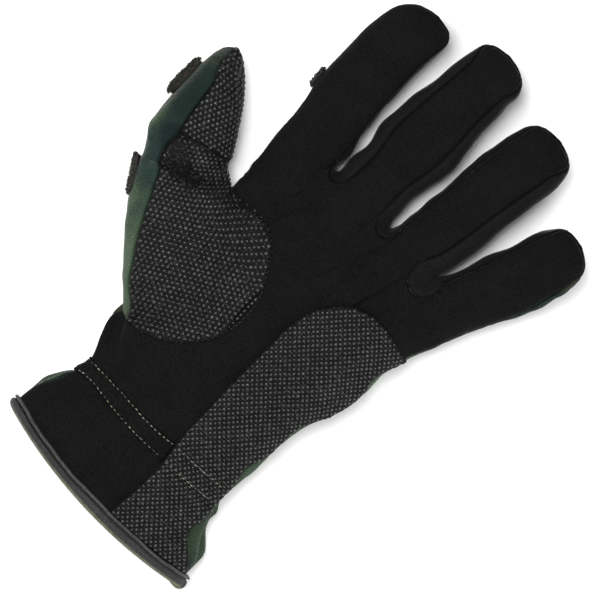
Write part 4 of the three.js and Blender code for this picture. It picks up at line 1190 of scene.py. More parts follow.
# %% Make the three side strips
def side_strip(index, inset, finger_rows=84, crotch_rows=26, across=16):
    """Grid of the strip: place along its path by place across it."""
    a, b = FINGERS[index], FINGERS[index + 1]
    at = (1 - (1 - np.linspace(0, 0.96, finger_rows)) ** 1.35)[1:, None]
    v = crowded(across, 0.5)

    def beside(finger, at, side):
        """The part along a finger, between the seams of its front and back piece."""
        _, _, half, thick, _ = finger_section(finger, at)
        seam = seam_angle(finger, at, side)
        slack = np.minimum(2 * gap_angle(half, thick, seam), 0.8 * seam)
        edge = mix(seam - slack, slack - seam, v)
        return finger_point(finger, at, edge if side > 0 else np.pi - edge, inset)

    station = crotch_stations(index, crotch_rows)
    station = {k: (val if k == "drift" else val[:, None]) for k, val in station.items()}
    seam = station["seam"] - 2 * gap_angle(station["half"], station["thick"], station["seam"])
    round_crotch = crotch_point(station, mix(seam, -seam, v), inset)
    return np.concatenate([beside(a, at[::-1], 1), round_crotch, beside(b, at, -1)])


def strip_relief(seed, bulges):
    """Turned edges, soft lumps, and bells that push the strip out or pull it in."""
    def relief(points, seam):
        """All of these, added."""
        out = sum(high * np.exp(-((points - [x, y, z]) ** 2).sum(1) / size**2)
                  for x, y, z, high, size in bulges)
        soft = 0.2 * lumps(points, 14, seed) * smooth(0, 4, seam)
        return turned_edge(seam, 0.8, 1.8) + puckers(points, seam, 0.07, seed + 1) + soft + out
    return relief


STRIP_BULGES = [
    [(-23.5, 153, 15, 1.6, 6.0), (-20.6, 141.5, 17, -2.2, 5.0)],
    [(10.0, 143, 18, -2.4, 5.0)],
    [(41.5, 139.5, 13, 2.6, 5.5), (38.5, 134, 20, -1.6, 3.5)],
]
strips = []
for index, (name, _) in enumerate(WEBS):
    outer, inner = side_strip(index, 0.0), side_strip(index, STRIP_WALL)
    strips.append(grid_piece(name.replace("fourchette", "side_strip"), outer, inner,
                             strip_relief(20 + index, STRIP_BULGES[index]), strip_knit))

# %% [markdown]
# ## Thumb pieces
#
# The front has a large grip patch over the ball, and a cap over the fold-back tip whose
# hem laps over the patch. Green cloth goes round the outer side and the back. Cloth that
# would lie deep inside the hand is left out, so that the thumb opens into the palm.

# %% Sheets over the rows of the thumb
def inside_hand(points):
    """True well inside the hand: the power sum of the section coordinates is under one."""
    x, y, z = points.T
    height = np.where(z > PALM_MID, body("rise", y) * PALM_RISE, PALM_DROP)
    across = np.abs(x - body("centre", y)) / body("half", y)
    level = across**BODY_SQUARENESS + (np.abs(z - PALM_MID) / height) ** BODY_SQUARENESS
    return (level < 0.9) & (y > 20) & (y < PALM_DEPTH * 0.9)


def thumb_piece(name, rows, across, wall, angle, relief, material, lift=True, sink=None):
    """A sheet over rows of the thumb, kept clear of the palm where lift is set. angle gives
    the section angles, and sink a depth below the surface for each row."""
    row, v = np.array(rows)[:, None], crowded(across, 0.4)
    sheets = []
    for inset in (0.0, wall):
        turn = angle(row, v) + 0 * row
        base = thumb_point(row + 0 * v, turn, inset + (0 if sink is None else sink(row)))
        raised = clear_of_palm(base, LAY_GAP + GRIP_WALL - inset)
        sheets.append(np.where((turn < np.pi)[..., None] & lift, raised, base))
    outer, inner = sheets
    return grid_piece(name, outer, inner, relief, material, lambda p: ~inside_hand(p)), outer


print("the middle of the wrist lies inside the hand:", inside_hand(point([0], [30], [12]))[0])

# %% Relief of the thumb pieces
THUMB_FOLDS = columns(FOLD_NAMES, [
    (-86, 102, -64, 94, 3.2, 4.5, 0.9),
    (-86, 92, -60, 100, 1.2, 2.5, 0.3),
])
THUMB_BACK_FOLDS = columns(FOLD_NAMES, [(-104, 96, -78, 82, 1.2, 4.0, 0.5)])


def ball_relief(points, seam):
    """Turned edge, puckers, lumps and the folds where the thumb bends, added."""
    soft = 0.35 * lumps(points, 24, 31) + 0.15 * lumps(points, 9, 32)
    return (turned_edge(seam, 1.0, 1.9) + puckers(points, seam, 0.1, 33)
            + soft * smooth(0, 6, seam) + folds(points, THUMB_FOLDS))


def cap_relief(points, seam):
    """Turned edge, puckers and lumps, added."""
    soft = 0.25 * lumps(points, 16, 35)
    return turned_edge(seam, 0.8, 1.6) + puckers(points, seam, 0.12, 36) + soft * smooth(0, 5, seam)


def thumb_back_relief(points, seam):
    """Turned edge, and above the table puckers, lumps and a fold, added."""
    free = smooth(1.0, 5.0, points[:, 2])
    soft = 0.28 * lumps(points, 22, 37) + 0.08 * lumps(points, 9, 38)
    bend = folds(points, THUMB_BACK_FOLDS)
    loose = puckers(points, seam, 0.08, 39) + soft * smooth(0, 5, seam) + bend
    return turned_edge(seam, 1.1, 2.0) + loose * free


print("deepest fold of the thumb:", THUMB_FOLDS["depth"].max(), "mm")

# %% Make the thumb pieces
def back_angle(row, v):
    """From the border, v 0, round below the thumb to the free side, v 1."""
    border, slack, side = thumb_seams(row)
    return mix(border + slack, 2 * np.pi + side - GAP / THUMB_DROP, v)


def hem_dip(row):
    """Depth by which the lower front dips under the hem of the cap."""
    return (GRIP_WALL + GAP) * smooth(CAP_ROW - 0.9, CAP_ROW, row)


ball_rows = np.linspace(0, CAP_ROW + 0.35, 116)
cap_rows = mix(CAP_ROW, THUMB_TIP, 1 - (1 - np.linspace(0, 1, 66)) ** 1.3)
back_rows = np.concatenate([np.linspace(0, CAP_ROW, 90), cap_rows[1:]])
thumb_ball, ball_grid = thumb_piece("thumb_grip_cloth", ball_rows, 84, GRIP_WALL, thumb_front,
                                    ball_relief, grip_cloth, sink=hem_dip)
thumb_cap, cap_grid = thumb_piece("thumb_cap_cloth", cap_rows, 56, GRIP_WALL, thumb_front,
                                  cap_relief, grip_cloth, lift=False)
thumb_back, _ = thumb_piece("thumb_back_cloth", back_rows, 96, CLOTH_WALL, back_angle,
                            thumb_back_relief, camouflage_knit)

# %% [markdown]
# ## Heel patch and wrist band
#
# The heel patch is laid on the palm from the cuff tape up to a rounded corner. The band is
# an elastic casing, a little raised, whose edges follow its two rows of stitches.

# %% Make the heel patch
def heel_top(x):
    """Top edge: an elliptic corner on the left, and a slow fall at the side of the hand."""
    corner = np.clip(1 - (x - HEEL_EDGE) / HEEL_CORNER_WIDTH, 0, 1)
    side = smooth(HEEL_EDGE + 1.2 * HEEL_CORNER_WIDTH, PALM_WIDTH / 2, x)
    return HEEL_TOP - HEEL_CORNER_HEIGHT * (1 - np.sqrt(1 - corner**2)) - HEEL_SIDE_DROP * side


HEEL_LEFT = columns("y x", [
    (-38, 10.3), (-10, 12), (0, 11), (10, 10), (30, 9.5), (43, 9.5), (69, 10.1), (110, 10.1)])


def heel_angle(y, v):
    """From the side of the hand, v 0, to the patch's left edge, v 1."""
    left = curve(HEEL_LEFT["y"], HEEL_LEFT["x"], y)
    share = (left - body("centre", y)) / body("half", y)
    return mix(right_seam(y), angle_at(share, BODY_SQUARENESS), v)


HEEL_ROWS, HEEL_COLUMNS = crowded(170, 0.35), crowded(78, 0.35)
HEEL_FOOT = BINDING_WIDTH - CUFF_DEPTH - 1.7


def heel_column_tops():
    """Where each column of the patch ends: the top edge at the column's plan place."""
    side_top = HEEL_TOP - HEEL_SIDE_DROP + 0 * HEEL_COLUMNS
    return heel_top(body_point(side_top, heel_angle(side_top, HEEL_COLUMNS))[..., 0])


def heel_sheet(inset):
    """Rows run from the tape to the top edge above each column."""
    u, v = HEEL_ROWS[:, None], HEEL_COLUMNS
    y = mix(HEEL_FOOT, heel_column_tops(), u)
    return body_point(y, heel_angle(y, v + 0 * u), inset - LAY_GAP - GRIP_WALL)


def heel_relief(points, seam):
    """Turned edge, puckers, the palm's lumps and pleats and the dents of the two rows of
    stitches, added."""
    low = smooth(-CUFF_DEPTH + 4, -CUFF_DEPTH + 12, points[:, 1])
    return (turned_edge(seam, 1.0, 1.8) + puckers(points, seam, 0.12, 43)
            + palm_lumps(points) * smooth(0, 6, seam) * low + wrist_pleats(points, 0.4, 7.5, 5.0)
            - 0.5 * bump(np.abs(points[:, 1]) - BAND_HALF, 1.1))


heel_outer = heel_sheet(0.0)
heel = grid_piece("heel_grip_cloth", heel_outer, heel_sheet(GRIP_WALL), heel_relief, grip_cloth)

# %% Make the wrist band
UPPER_ROW = columns("x y", [
    (-44, 4.8), (-24, 4.5), (-6, 3.2), (1, 3.2), (10, 4.0), (21, 4.2), (36, 5.0), (45, 4.2)])
LOWER_ROW = columns("x y", [
    (-44, -3.2), (-37, -1.9), (-29, -2.3), (-19, -3.5), (-4, -4.3), (6, -4.0), (21, -3.8),
    (31, -3.5), (43, -2.0)])
BAND_HEM = 1.1


def band_sheet(inset, rows=26, cols=110):
    """Between the two rows of stitches and a hem past them, from the side seam on the thumb
    side to the heel patch."""
    u, v, start = crowded(rows, 0.5)[:, None], crowded(cols, 0.2), np.pi + SIDE_WRAP
    x = body("centre", 0.0) + body("half", 0.0) * squircle(mix(start, 1.3, v), BODY_SQUARENESS)[0]
    low, high = (curve(row["x"], row["y"], x) for row in (LOWER_ROW, UPPER_ROW))
    y = mix(low - BAND_HEM, high + BAND_HEM, u)
    share = (curve(HEEL_LEFT["y"], HEEL_LEFT["x"], y) - GAP - body("centre", y)) / body("half", y)
    end = angle_at(share, BODY_SQUARENESS)
    return body_point(y, mix(start, end, v), inset - LAY_GAP - BAND_WALL)


def band_relief(points, seam):
    """Turned edge, puckers, a groove along the stitches and lumps, added."""
    return (turned_edge(seam, 1.1, 1.6) + puckers(points, seam, 0.12, 45)
            - 0.3 * bump(seam - 1.2, 0.6) + 0.18 * lumps(points, 9, 46))


band = grid_piece("wrist_band_cloth", band_sheet(0.0), band_sheet(BAND_WALL), band_relief,
                  band_knit)

# %% [markdown]
# ## Cuff tape
#
# The tape is folded round the edge of the cuff. Its section is a closed curve through a
# few given points: a narrow ridge along the top edge, a stitched groove, and a rounded
# fold at the outer edge. The section is carried round the opening.

# %% The section of the cuff tape
def closed_curve(corners, steps):
    """Catmull-Rom curve through the corners: each stretch uses its two neighbours."""
    p = np.array(corners, float)
    t = np.arange(steps)[:, None, None] / steps
    a, b, c, d = (np.roll(p, shift, axis=0)[None] for shift in (1, 0, -1, -2))
    path = 0.5 * (2 * b + (c - a) * t + (2 * a - 5 * b + 4 * c - d) * t**2
                  + (3 * b - a - 3 * c + d) * t**3)
    return path.transpose(1, 0, 2).reshape(-1, 2)


TAPE_OUT, TAPE_IN = LAY_GAP + TAPE_WALL, -CLOTH_WALL - TAPE_SLACK
TAPE_LEG, GROOVE_AT, TAPE_STATIONS = BINDING_WIDTH - LAY_GAP - TAPE_WALL, 1.75, 380
TAPE_SECTION = closed_curve([
    (LAY_GAP, TAPE_LEG - 0.1), (TAPE_OUT - 0.3, TAPE_LEG), (TAPE_OUT + 0.45, TAPE_LEG - 0.6),
    (TAPE_OUT + 0.1, TAPE_LEG - 1.25), (TAPE_OUT - 0.95, TAPE_LEG - GROOVE_AT),
    (TAPE_OUT + 0.05, TAPE_LEG - 2.35), (TAPE_OUT + 0.45, TAPE_LEG - 3.7), (TAPE_OUT - 0.1, -0.5),
    (0.4, -TAPE_OUT + 0.1), (-1.6, -TAPE_OUT - 0.1), (TAPE_IN, -TAPE_OUT + 0.2),
    (TAPE_IN - TAPE_WALL, 0), (TAPE_IN - TAPE_WALL, TAPE_LEG - 0.3), (TAPE_IN - 0.2, TAPE_LEG),
    (TAPE_IN, 2), (TAPE_IN + 0.3, -LAY_GAP), (LAY_GAP - 0.3, -LAY_GAP), (LAY_GAP, 2),
], 6)
print("points round the section of the tape:", len(TAPE_SECTION))

# %% Make the cuff tape
def tape_rings():
    """Angle round the cuff, place along the hand and height over the cloth for each point
    of each ring, with a slow wander of the tape's edge and the lump where its ends meet."""
    out, leg = TAPE_SECTION.T
    turn = np.linspace(0, 2 * np.pi, TAPE_STATIONS, endpoint=False)[:, None]
    wander = 0.3 * np.sin(5 * turn + 1) + 0.16 * np.sin(13 * turn) + 0.07 * np.sin(31 * turn)
    along = leg + wander * smooth(-1, 3, leg)
    joint = bump(np.abs(turn - 0.16), 0.05)
    along = along - 1.3 * joint * smooth(2, -1, leg)
    swell = 1 + 0.06 * np.sin(17 * turn + 2 * np.sin(3 * turn)) + 0.5 * joint
    grow = np.where(out > LAY_GAP, LAY_GAP + (out - LAY_GAP) * swell, out + 0 * turn)
    return turn + 0 * along, along, grow


def ring_cells(rings, size):
    """Cells of a section carried round a closed path."""
    i, j = np.arange(rings)[:, None], np.arange(size)
    ahead, right = (i + 1) % rings * size, (j + 1) % size
    return np.stack([i * size + j, i * size + right, ahead + right, ahead + j], -1).reshape(-1, 4)


def make_tape():
    """The rings as one closed tube, with marks for its khaki edge, its ridge and the painted
    shade of its groove. Flat, it is as long as the cuff and half as wide as its section is round."""
    turn, along, grow = tape_rings()
    base = body_point(along - CUFF_DEPTH, turn, -grow)
    base[..., 2] = np.maximum(base[..., 2], 0.02)
    points = base.reshape(-1, 3)
    cells = outward(points, ring_cells(*base.shape[:2]))
    out, leg = TAPE_SECTION.T
    marks = {"tone": bump(leg + TAPE_OUT, 1.6) * (out < TAPE_OUT),
             "ridge": bump(leg - TAPE_LEG + 0.6, 0.6) * (out > TAPE_OUT - 0.5),
             # the groove mark carries the tape's painted shade
             "groove": bump(leg - TAPE_LEG + 1.7, 0.62) * (out > LAY_GAP)}
    marks = {key: np.tile(values, TAPE_STATIONS) for key, values in marks.items()}
    length = np.linalg.norm(np.diff(base[:, :1], axis=0, append=base[:1, :1]), axis=2).cumsum(0)
    around = np.diff(TAPE_SECTION, axis=0, append=TAPE_SECTION[:1])
    around = np.linalg.norm(around, axis=1).cumsum()
    uv = np.stack([length + 0 * around, around + 0 * length], -1).reshape(-1, 2)
    print(f"tape: {length[-1, 0]:.0f} mm long, {around[-1] / 2:.0f} mm wide before folding")
    return put("cuff_tape_binding", points, [cells], cuff_tape, uv, more=marks)


tape = make_tape()

# %% [markdown]
# ## Grip dots
#
# Hundreds of small printed domes, each a low mesh of four rings. They sit on a staggered
# lattice that is measured along the cloth, so that they crowd together where the surface
# turns away, as print on cloth does. Every dot has its own tone and a slightly different
# size, drawn once from a fixed seed.

# %% Copies of a small shape on a surface
def near_surface(grid, normal, wanted):
    """The grid's points and normals at fractional row and column numbers: a mix of the four
    corners around each place."""
    rows, cols = grid.shape[:2]
    r, c = np.clip(wanted[:, 0], 0, rows - 1.001), np.clip(wanted[:, 1], 0, cols - 1.001)
    i, j = r.astype(int), c.astype(int)
    a, b = (r - i)[:, None], (c - j)[:, None]

    def read(field):
        """Mixed along the rows first, then across them."""
        return mix(mix(field[i, j], field[i + 1, j], a),
                   mix(field[i, j + 1], field[i + 1, j + 1], a), b)

    return read(grid), read(normal)


def stamps(shape, faces, where, up, along, scale):
    """Copies of a shape: its x across, y along and z up each place, all at once."""
    up = up / np.linalg.norm(up, axis=1, keepdims=True)
    along = along - up * (along * up).sum(1, keepdims=True)
    along /= np.maximum(np.linalg.norm(along, axis=1, keepdims=True), 1e-9)
    across = np.cross(along, up)
    local = shape[None] * scale[:, None]
    points = (where[:, None] + local[..., :1] * across[:, None] + local[..., 1:2] * along[:, None]
              + local[..., 2:] * up[:, None])
    shift = (np.arange(len(where)) * len(shape))[:, None, None]
    copies = [(part[None] + shift).reshape(-1, part.shape[1]) for part in faces]
    return points.reshape(-1, 3), copies


def dome(sides=9, levels=(0.0, 0.55, 0.88), foot=-0.5):
    """A dome of unit radius: a foot ring below the cloth, rings at cosine radius and sine
    height, and a point at the top and in the middle of the foot."""
    turn = np.linspace(0, 2 * np.pi, sides, endpoint=False)
    rings = [point(np.cos(turn), np.sin(turn), foot)]
    for h in levels:
        radius = math.sqrt(1 - h * h)
        rings.append(point(np.cos(turn) * radius, np.sin(turn) * radius, h))
    points = np.concatenate([*rings, [[0, 0, 1.0], [0, 0, foot]]])
    j = np.arange(sides)
    right, last, low = (j + 1) % sides, len(levels) * sides, np.arange(len(levels)) * sides
    low = low[:, None]
    quads = np.stack([low + j, low + right, low + sides + right, low + sides + j], -1)
    tips = np.concatenate([np.stack([last + j, last + right, np.full(sides, last + sides)], 1),
                           np.stack([right, j, np.full(sides, last + sides + 1)], 1)])
    return points, [quads.reshape(-1, 4), tips]


DOME, DOME_FACES = dome()


def surface_of(piece, shape):
    """Outer points and normals of a finished sheet, as grids in millimetres."""
    points, normal = SURFACES[piece.name]
    return points.reshape(*shape[:2], 3), normal.reshape(*shape[:2], 3)


def clear_of_edge(where, grid, margin):
    """True where a place is further than the margin from the grid's four sides."""
    border = np.concatenate([grid[0], grid[-1], grid[:, 0], grid[:, -1]])
    return distance_to(where, border) > margin


def dots(name, where, up, along, size, seed):
    """One piece of domes; size is half across, half along and height, in millimetres."""
    rng = np.random.default_rng(seed)
    count = len(where)
    scale = np.array(size) * rng.uniform(0.84, 1.14, (count, 3))
    where = where + rng.normal(0, 0.05, (count, 3))
    points, faces = stamps(DOME, DOME_FACES, where, up, np.tile(along, (count, 1)), scale)
    tone = np.repeat(rng.beta(1.5, 2.8, count), len(DOME))
    piece = put(name, points, faces, grip_dots, more={"tone": tone}, sharp=180)
    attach(piece, "root")
    print(name, "has", count, "dots")


print("a dome has", len(DOME), "points")

# %% Dots of the heel patch, along the cloth
def heel_lattice(pitch, first=1.3, last=0.9):
    """Staggered dots: rows at equal places along the hand, and in each row equal steps
    along the cloth, counted from the patch's left edge."""
    level = np.arange(HEEL_FOOT + 1.1, HEEL_TOP, pitch[1])[:, None]
    angle = heel_angle(level, HEEL_COLUMNS[::-1] + 0 * level)
    line = body_point(level, angle, -LAY_GAP - GRIP_WALL)
    step = np.linalg.norm(np.diff(line, axis=1), axis=2)
    reaches = np.concatenate([np.zeros((len(level), 1)), step.cumsum(1)], 1)
    column, tops, found = np.arange(len(HEEL_COLUMNS)), heel_column_tops(), []
    for k, reach in enumerate(reaches):
        places = np.arange(first + 0.5 * pitch[0] * (k % 2), reach[-1] - last, pitch[0])
        at = np.interp(places, reach, column[::-1])
        share = (level[k] - HEEL_FOOT) / (np.interp(at, column, tops) - HEEL_FOOT)
        rows = np.interp(share, HEEL_ROWS, np.arange(len(HEEL_ROWS)))
        found.append(np.stack([rows, at], 1)[share < 1])
    return np.concatenate(found)


heel_grid, heel_normal = surface_of(heel, heel_outer.shape)
where, up = near_surface(heel_grid, heel_normal, heel_lattice((2.8, 1.5)))
inside = clear_of_edge(where, heel_grid, 1.2)
dots("heel_grip_dots", where[inside], up[inside], (0.1, 1.0, 0.0), (0.62, 0.88, 0.38), 51)

# %% Dots of the thumb cap, along the cloth
def cloth_lattice(grid, pitch, first=1.2, last=0.8):
    """Fractional rows and columns of a staggered lattice: rows of dots at equal places
    along the hand, and equal steps along the cloth, counted from one edge of the grid."""
    along, column, found = grid[..., 1], np.arange(grid.shape[1]), []
    for k, level in enumerate(np.arange(along.min() + 0.8, along.max(), pitch[1])):
        above = along > level
        crossed = above[1:] != above[:-1]
        row = np.where(crossed.any(0), crossed.argmax(0), 0)
        low, high = along[row, column], along[row + 1, column]
        row = row + np.clip((level - low) / np.where(high == low, 1, high - low), 0, 1)
        line, _ = near_surface(grid, grid, np.stack([row, column], 1).astype(float))
        reach = np.concatenate([[0], np.linalg.norm(np.diff(line, axis=0), axis=1).cumsum()])
        places = np.arange(first + (0.5 * pitch[0] if k % 2 else 0), reach[-1] - last, pitch[0])
        at = np.interp(places, reach, column)
        fits = crossed.any(0)[np.clip(np.round(at).astype(int), 0, len(column) - 1)]
        found.append(np.stack([np.interp(at, column, row), at], 1)[fits])
    return np.concatenate(found)


cap_surface, cap_normal = surface_of(thumb_cap, cap_grid.shape)
where, up = near_surface(cap_surface, cap_normal, cloth_lattice(cap_surface, (2.5, 2.0)))
inside = clear_of_edge(where, cap_surface, 0.9)
dots("thumb_cap_dots", where[inside], up[inside], (-0.1, 1.0, 0.0), (0.72, 0.94, 0.42), 52)

# %% [markdown]
# The ball of the thumb is printed in straight columns that run along the hand, and the
# cloth is then stretched over the ball. So its lattice is laid flat from above, sheared a
# little where the cloth turns towards the crotch, and dropped onto the surface.

# %% Dots of the ball of the thumb, from above
def drop_onto(grid, normal, plan):
    """Height of the surface under plan points, on the plane of the nearest grid point; also
    the normals there and how far off that grid point is."""
    flat, lean = grid.reshape(-1, 3), normal.reshape(-1, 3)
    faces_up = lean[:, 2] > 0.3
    flat, lean = flat[faces_up], lean[faces_up]
    nearest = np.concatenate([
        ((part[:, None] - flat[None, :, :2]) ** 2).sum(2).argmin(1)
        for part in np.array_split(plan, max(1, len(plan) // 60))])
    under, slope = flat[nearest], lean[nearest]
    away = plan - under[:, :2]
    z = under[:, 2] - (away * slope[:, :2]).sum(1) / slope[:, 2]
    return point(plan[:, 0], plan[:, 1], z), slope, np.hypot(*away.T)


BALL_ACROSS, BALL_ALONG = 2.12, 2.4
ball_surface, ball_normal = surface_of(thumb_ball, ball_grid.shape)
i, j = np.meshgrid(np.arange(-49, 16), np.arange(0, 50), indexing="ij")
plan = np.stack([i * BALL_ACROSS, 26 + j * BALL_ALONG + (i % 2) * (BALL_ALONG / 2)], -1)
plan = plan.reshape(-1, 2)
upper = smooth(80, 104, plan[:, 1])
plan[:, 0] -= 9.0 * upper * smooth(-75, -30, plan[:, 0])
plan[:, 1] += 5.0 * upper * (plan[:, 0] + 60) / 40
where, up, far = drop_onto(ball_surface, ball_normal, plan)
inside = (far < 1.1) & clear_of_edge(where, ball_surface, 1.3)
inside &= distance_to(where, cap_surface.reshape(-1, 3)) >= 1.0
dots("thumb_grip_dots", where[inside], up[inside], (0.05, 1.0, 0.0), (0.66, 0.92, 0.4), 53)

# %% [markdown]
# ## Stitches
#
# Two rows of khaki stitches hold the elastic and run on over the heel patch. Each stitch
# is a short rounded bar, sunk at its ends. Black stitches hold down the edges of the
# patches and the groove of the tape.

# %% Rows of stitches
def bar(sides=6):
    """A rounded bar along y: rings whose radius and height follow a half circle."""
    y = np.array([-1, -0.86, -0.45, 0, 0.45, 0.86, 1.0])
    radius = np.sqrt(np.clip(1 - (np.abs(y) ** 3), 0.02, 1))
    turn = np.linspace(0, 2 * np.pi, sides, endpoint=False)
    rings = point(radius[:, None] * np.cos(turn), y[:, None] + 0 * turn,
                  radius[:, None] * np.sin(turn) - 0.9 * (np.abs(y) ** 3)[:, None])
    points = rings.reshape(-1, 3)
    cells = np.concatenate([grid_cells(len(y), sides)] + [
        np.array([[k * sides + sides - 1, k * sides, (k + 1) * sides, (k + 1) * sides + sides - 1]])
        for k in range(len(y) - 1)])
    ends = [np.arange(sides)[None, ::-1], (np.arange(sides) + (len(y) - 1) * sides)[None]]
    return points, [cells[:, ::-1]] + [end[:, ::-1] for end in ends]


BAR, BAR_FACES = bar()


def stitches(name, path, up, pitch, long, thick, seed, material, wobble=0.1):
    """Bars along a path of points at a fixed pitch, with a little seeded wobble."""
    step = np.linalg.norm(np.diff(path, axis=0), axis=1)
    along = np.concatenate([[0], step.cumsum()])
    rng = np.random.default_rng(seed)
    at = np.arange(pitch / 2, along[-1] - pitch / 3, pitch)
    at = at + rng.normal(0, 0.04 * pitch, len(at))

    def read(values, place):
        """The values at a place along the path, by straight mixing."""
        return np.stack([np.interp(place, along, values[:, k]) for k in range(3)], 1)

    where, ahead = read(path, at), read(path, at + 0.4) - read(path, at - 0.4)
    where = where + rng.normal(0, wobble, where.shape) * [1, 1, 0.3]
    scale = np.tile([thick, long / 2, thick], (len(at), 1)) * rng.uniform(0.88, 1.12, (len(at), 3))
    ahead = ahead + rng.normal(0, 0.05, ahead.shape)
    points, faces = stamps(BAR, BAR_FACES, where, read(up, at), ahead, scale)
    tone = np.repeat(rng.uniform(0, 1, len(at)), len(BAR))
    piece = put(name, points, faces, material, more={"tone": tone}, sharp=180)
    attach(piece, "root")
    print(name, "has", len(at), "stitches")


def on_body(x, y, height):
    """Points over the hand body at plan places, and their normals by small steps."""
    share = (x - body("centre", y)) / body("half", y)
    angle = angle_at(np.clip(share, -0.999, 0.999), BODY_SQUARENESS)
    here, beside = (body_point(y, angle + d, -height) for d in (0.0, -0.02))
    ahead = body_point(y + 0.2, angle, -height)
    up = np.cross(beside - here, ahead - here)
    return here, up / np.linalg.norm(up, axis=-1, keepdims=True)

# %% Khaki stitches over the elastic and the heel patch
band_top = LAY_GAP + BAND_WALL - 0.1
grip_top = LAY_GAP + GRIP_WALL + 0.1
for name, row in (("upper", UPPER_ROW), ("lower", LOWER_ROW)):
    x = np.linspace(-42.6, 10.4, 300)
    path, up = on_body(x, curve(row["x"], row["y"], x), band_top)
    stitches(f"{name}_band_stitches", path, up, 2.5, 1.45, 0.19, 61, thread)
    x = np.linspace(12.2, 42.3, 200)
    path, up = on_body(x, curve(row["x"], row["y"], x), grip_top)
    stitches(f"{name}_heel_stitches", path, up, 2.5, 1.45, 0.18, 62, thread)

# %% Black stitches along the patch edges and in the groove of the tape
stitches("heel_edge_stitches", heel_grid[:, -6], heel_normal[:, -6], 2.6, 1.7, 0.24, 63,
         black_thread, 0.05)
stitches("thumb_ball_edge_stitches", ball_surface[8:100, -5], ball_normal[8:100, -5], 2.4, 1.6,
         0.24, 64, black_thread, 0.05)
turn = np.linspace(0, 2 * np.pi, 700)
groove = TAPE_LEG - GROOVE_AT - CUFF_DEPTH + 0 * turn
tape_path, tape_next = (body_point(groove, turn, -(TAPE_OUT + out)) for out in (-0.85, 0.6))
keep = tape_path[:, 2] > 3
order = np.roll(np.arange(len(turn)), -np.argmax(~keep))
order = order[keep[order]]
stitches("tape_stitches", tape_path[order], (tape_next - tape_path)[order], 3.0, 2.1, 0.26, 65,
         black_thread, 0.05)

# %% [markdown]
# ## Fuzzy tabs
#
# Hook and loop tape looks like a pad with a felt of short bent fibres. The pad is a sheet
# laid on the thumb or the finger; each fibre is a three-sided tube in three steps that
# bends over as it rises.

# %% Pads and their fibres
def fibres(where, up, rng, long, thick):
    """Bent tubes: each step goes up by a shrinking share and sideways by a growing one."""
    count = len(where)
    up = up / np.linalg.norm(up, axis=1, keepdims=True)
    way = rng.normal(size=(count, 3)) + 1.2 * np.sin(where * 1.7)
    way -= up * (way * up).sum(1, keepdims=True)
    way /= np.linalg.norm(way, axis=1, keepdims=True)
    side = np.cross(up, way)
    t = np.array([0.0, 0.45, 0.8, 1.0])[:, None, None]
    length = (long * rng.uniform(0.55, 1.25, count))[:, None]
    lean = rng.uniform(0.2, 1.1, count)[:, None]
    spine = where + up * length * np.sin(t * 1.5) / 1.1 + way * length * lean * t**2
    turn = np.radians([0, 120, 240])[None, :, None, None]
    radius = thick * (1 - 0.75 * t[:, None] ** 2)
    rings = spine[:, None] + radius * (way * np.cos(turn) + side * np.sin(turn))
    points = rings.transpose(2, 0, 1, 3).reshape(-1, 3)
    quads = np.array([[k * 3 + j, k * 3 + (j + 1) % 3, k * 3 + 3 + (j + 1) % 3, k * 3 + 3 + j]
                      for k in range(3) for j in range(3)])
    shift = (np.arange(count) * 12)[:, None, None]
    caps = np.array([[2, 1, 0], [9, 10, 11]])
    return points, [(quads[None] + shift).reshape(-1, 4), (caps[None] + shift).reshape(-1, 3)]


def tab(name, surface, wall, fibre_count, fibre_long, seed, replaced, steps=22):
    """surface(u, v, inset) gives the pad, narrowed to round ends by the fourth-power
    circle; its fibres stand in clumps all over the outer face and lean out at the rim."""
    u, v = crowded(steps, 0.5)[:, None], crowded(steps, 0.5)
    round_end = np.maximum(0.35, (1 - np.abs(2 * u - 1) ** 4) ** 0.25)
    outer, inner = (surface(u + 0 * v, 0.5 + (v - 0.5) * round_end, inset)
                    for inset in (0.0, wall))

    def relief(points, seam):
        """A turned edge and the small lumps of the felt, added."""
        return turned_edge(seam, 0.55 * wall, 2.4) + 0.22 * lumps(points, 1.8, seed)

    pad = grid_piece(name, outer, inner, relief, fuzz, flat=False)
    mark(pad.data, "tone", np.full(len(pad.data.vertices), 0.12))
    grid, normal = surface_of(pad, outer.shape)
    rng = np.random.default_rng(seed)
    clumps = rng.uniform(0, steps, (fibre_count // 9, 2))
    spots = clumps[rng.integers(0, len(clumps), fibre_count)]
    spots = np.clip(spots + rng.normal(0, 0.045 * steps, (fibre_count, 2)), 0, steps)
    where, up = near_surface(grid, normal, spots)
    rim = (np.abs(spots - steps / 2).max(1) > 0.42 * steps)[:, None]
    away = where - grid.reshape(-1, 3).mean(0)
    up = up + rim * 1.1 * away / np.linalg.norm(away, axis=1, keepdims=True)
    points, faces = fibres(where - up * 0.15, up, rng, fibre_long, 0.19)
    points[:, 2] = np.maximum(points[:, 2], 0.05)
    tone = np.repeat(rng.beta(0.8, 2.2, fibre_count), len(points) // fibre_count)
    hair = put(name + "_fibres", points, faces, fuzz, more={"tone": tone}, sharp=180)
    for piece in (pad, hair):
        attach(piece, "root")
    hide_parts(replaced)


def on_thumb(low, high, first, last, rise):
    """The pad between two rows of the thumb and two section angles in degrees."""
    def surface(u, v, inset):
        """A thumb point, raised off the cloth."""
        return thumb_point(mix(low, high, u), np.radians(mix(first, last, v)), inset - GAP - rise)
    return surface


def on_index(start, long, first, last, rise):
    """The pad from a share of the index finger's length, long millimetres on."""
    def surface(u, v, inset):
        """A finger point, raised off the cloth."""
        at = start + u * long / FINGERS[0]["length"]
        return finger_point(FINGERS[0], at, np.radians(mix(first, last, v)), inset - GAP - rise)
    return surface


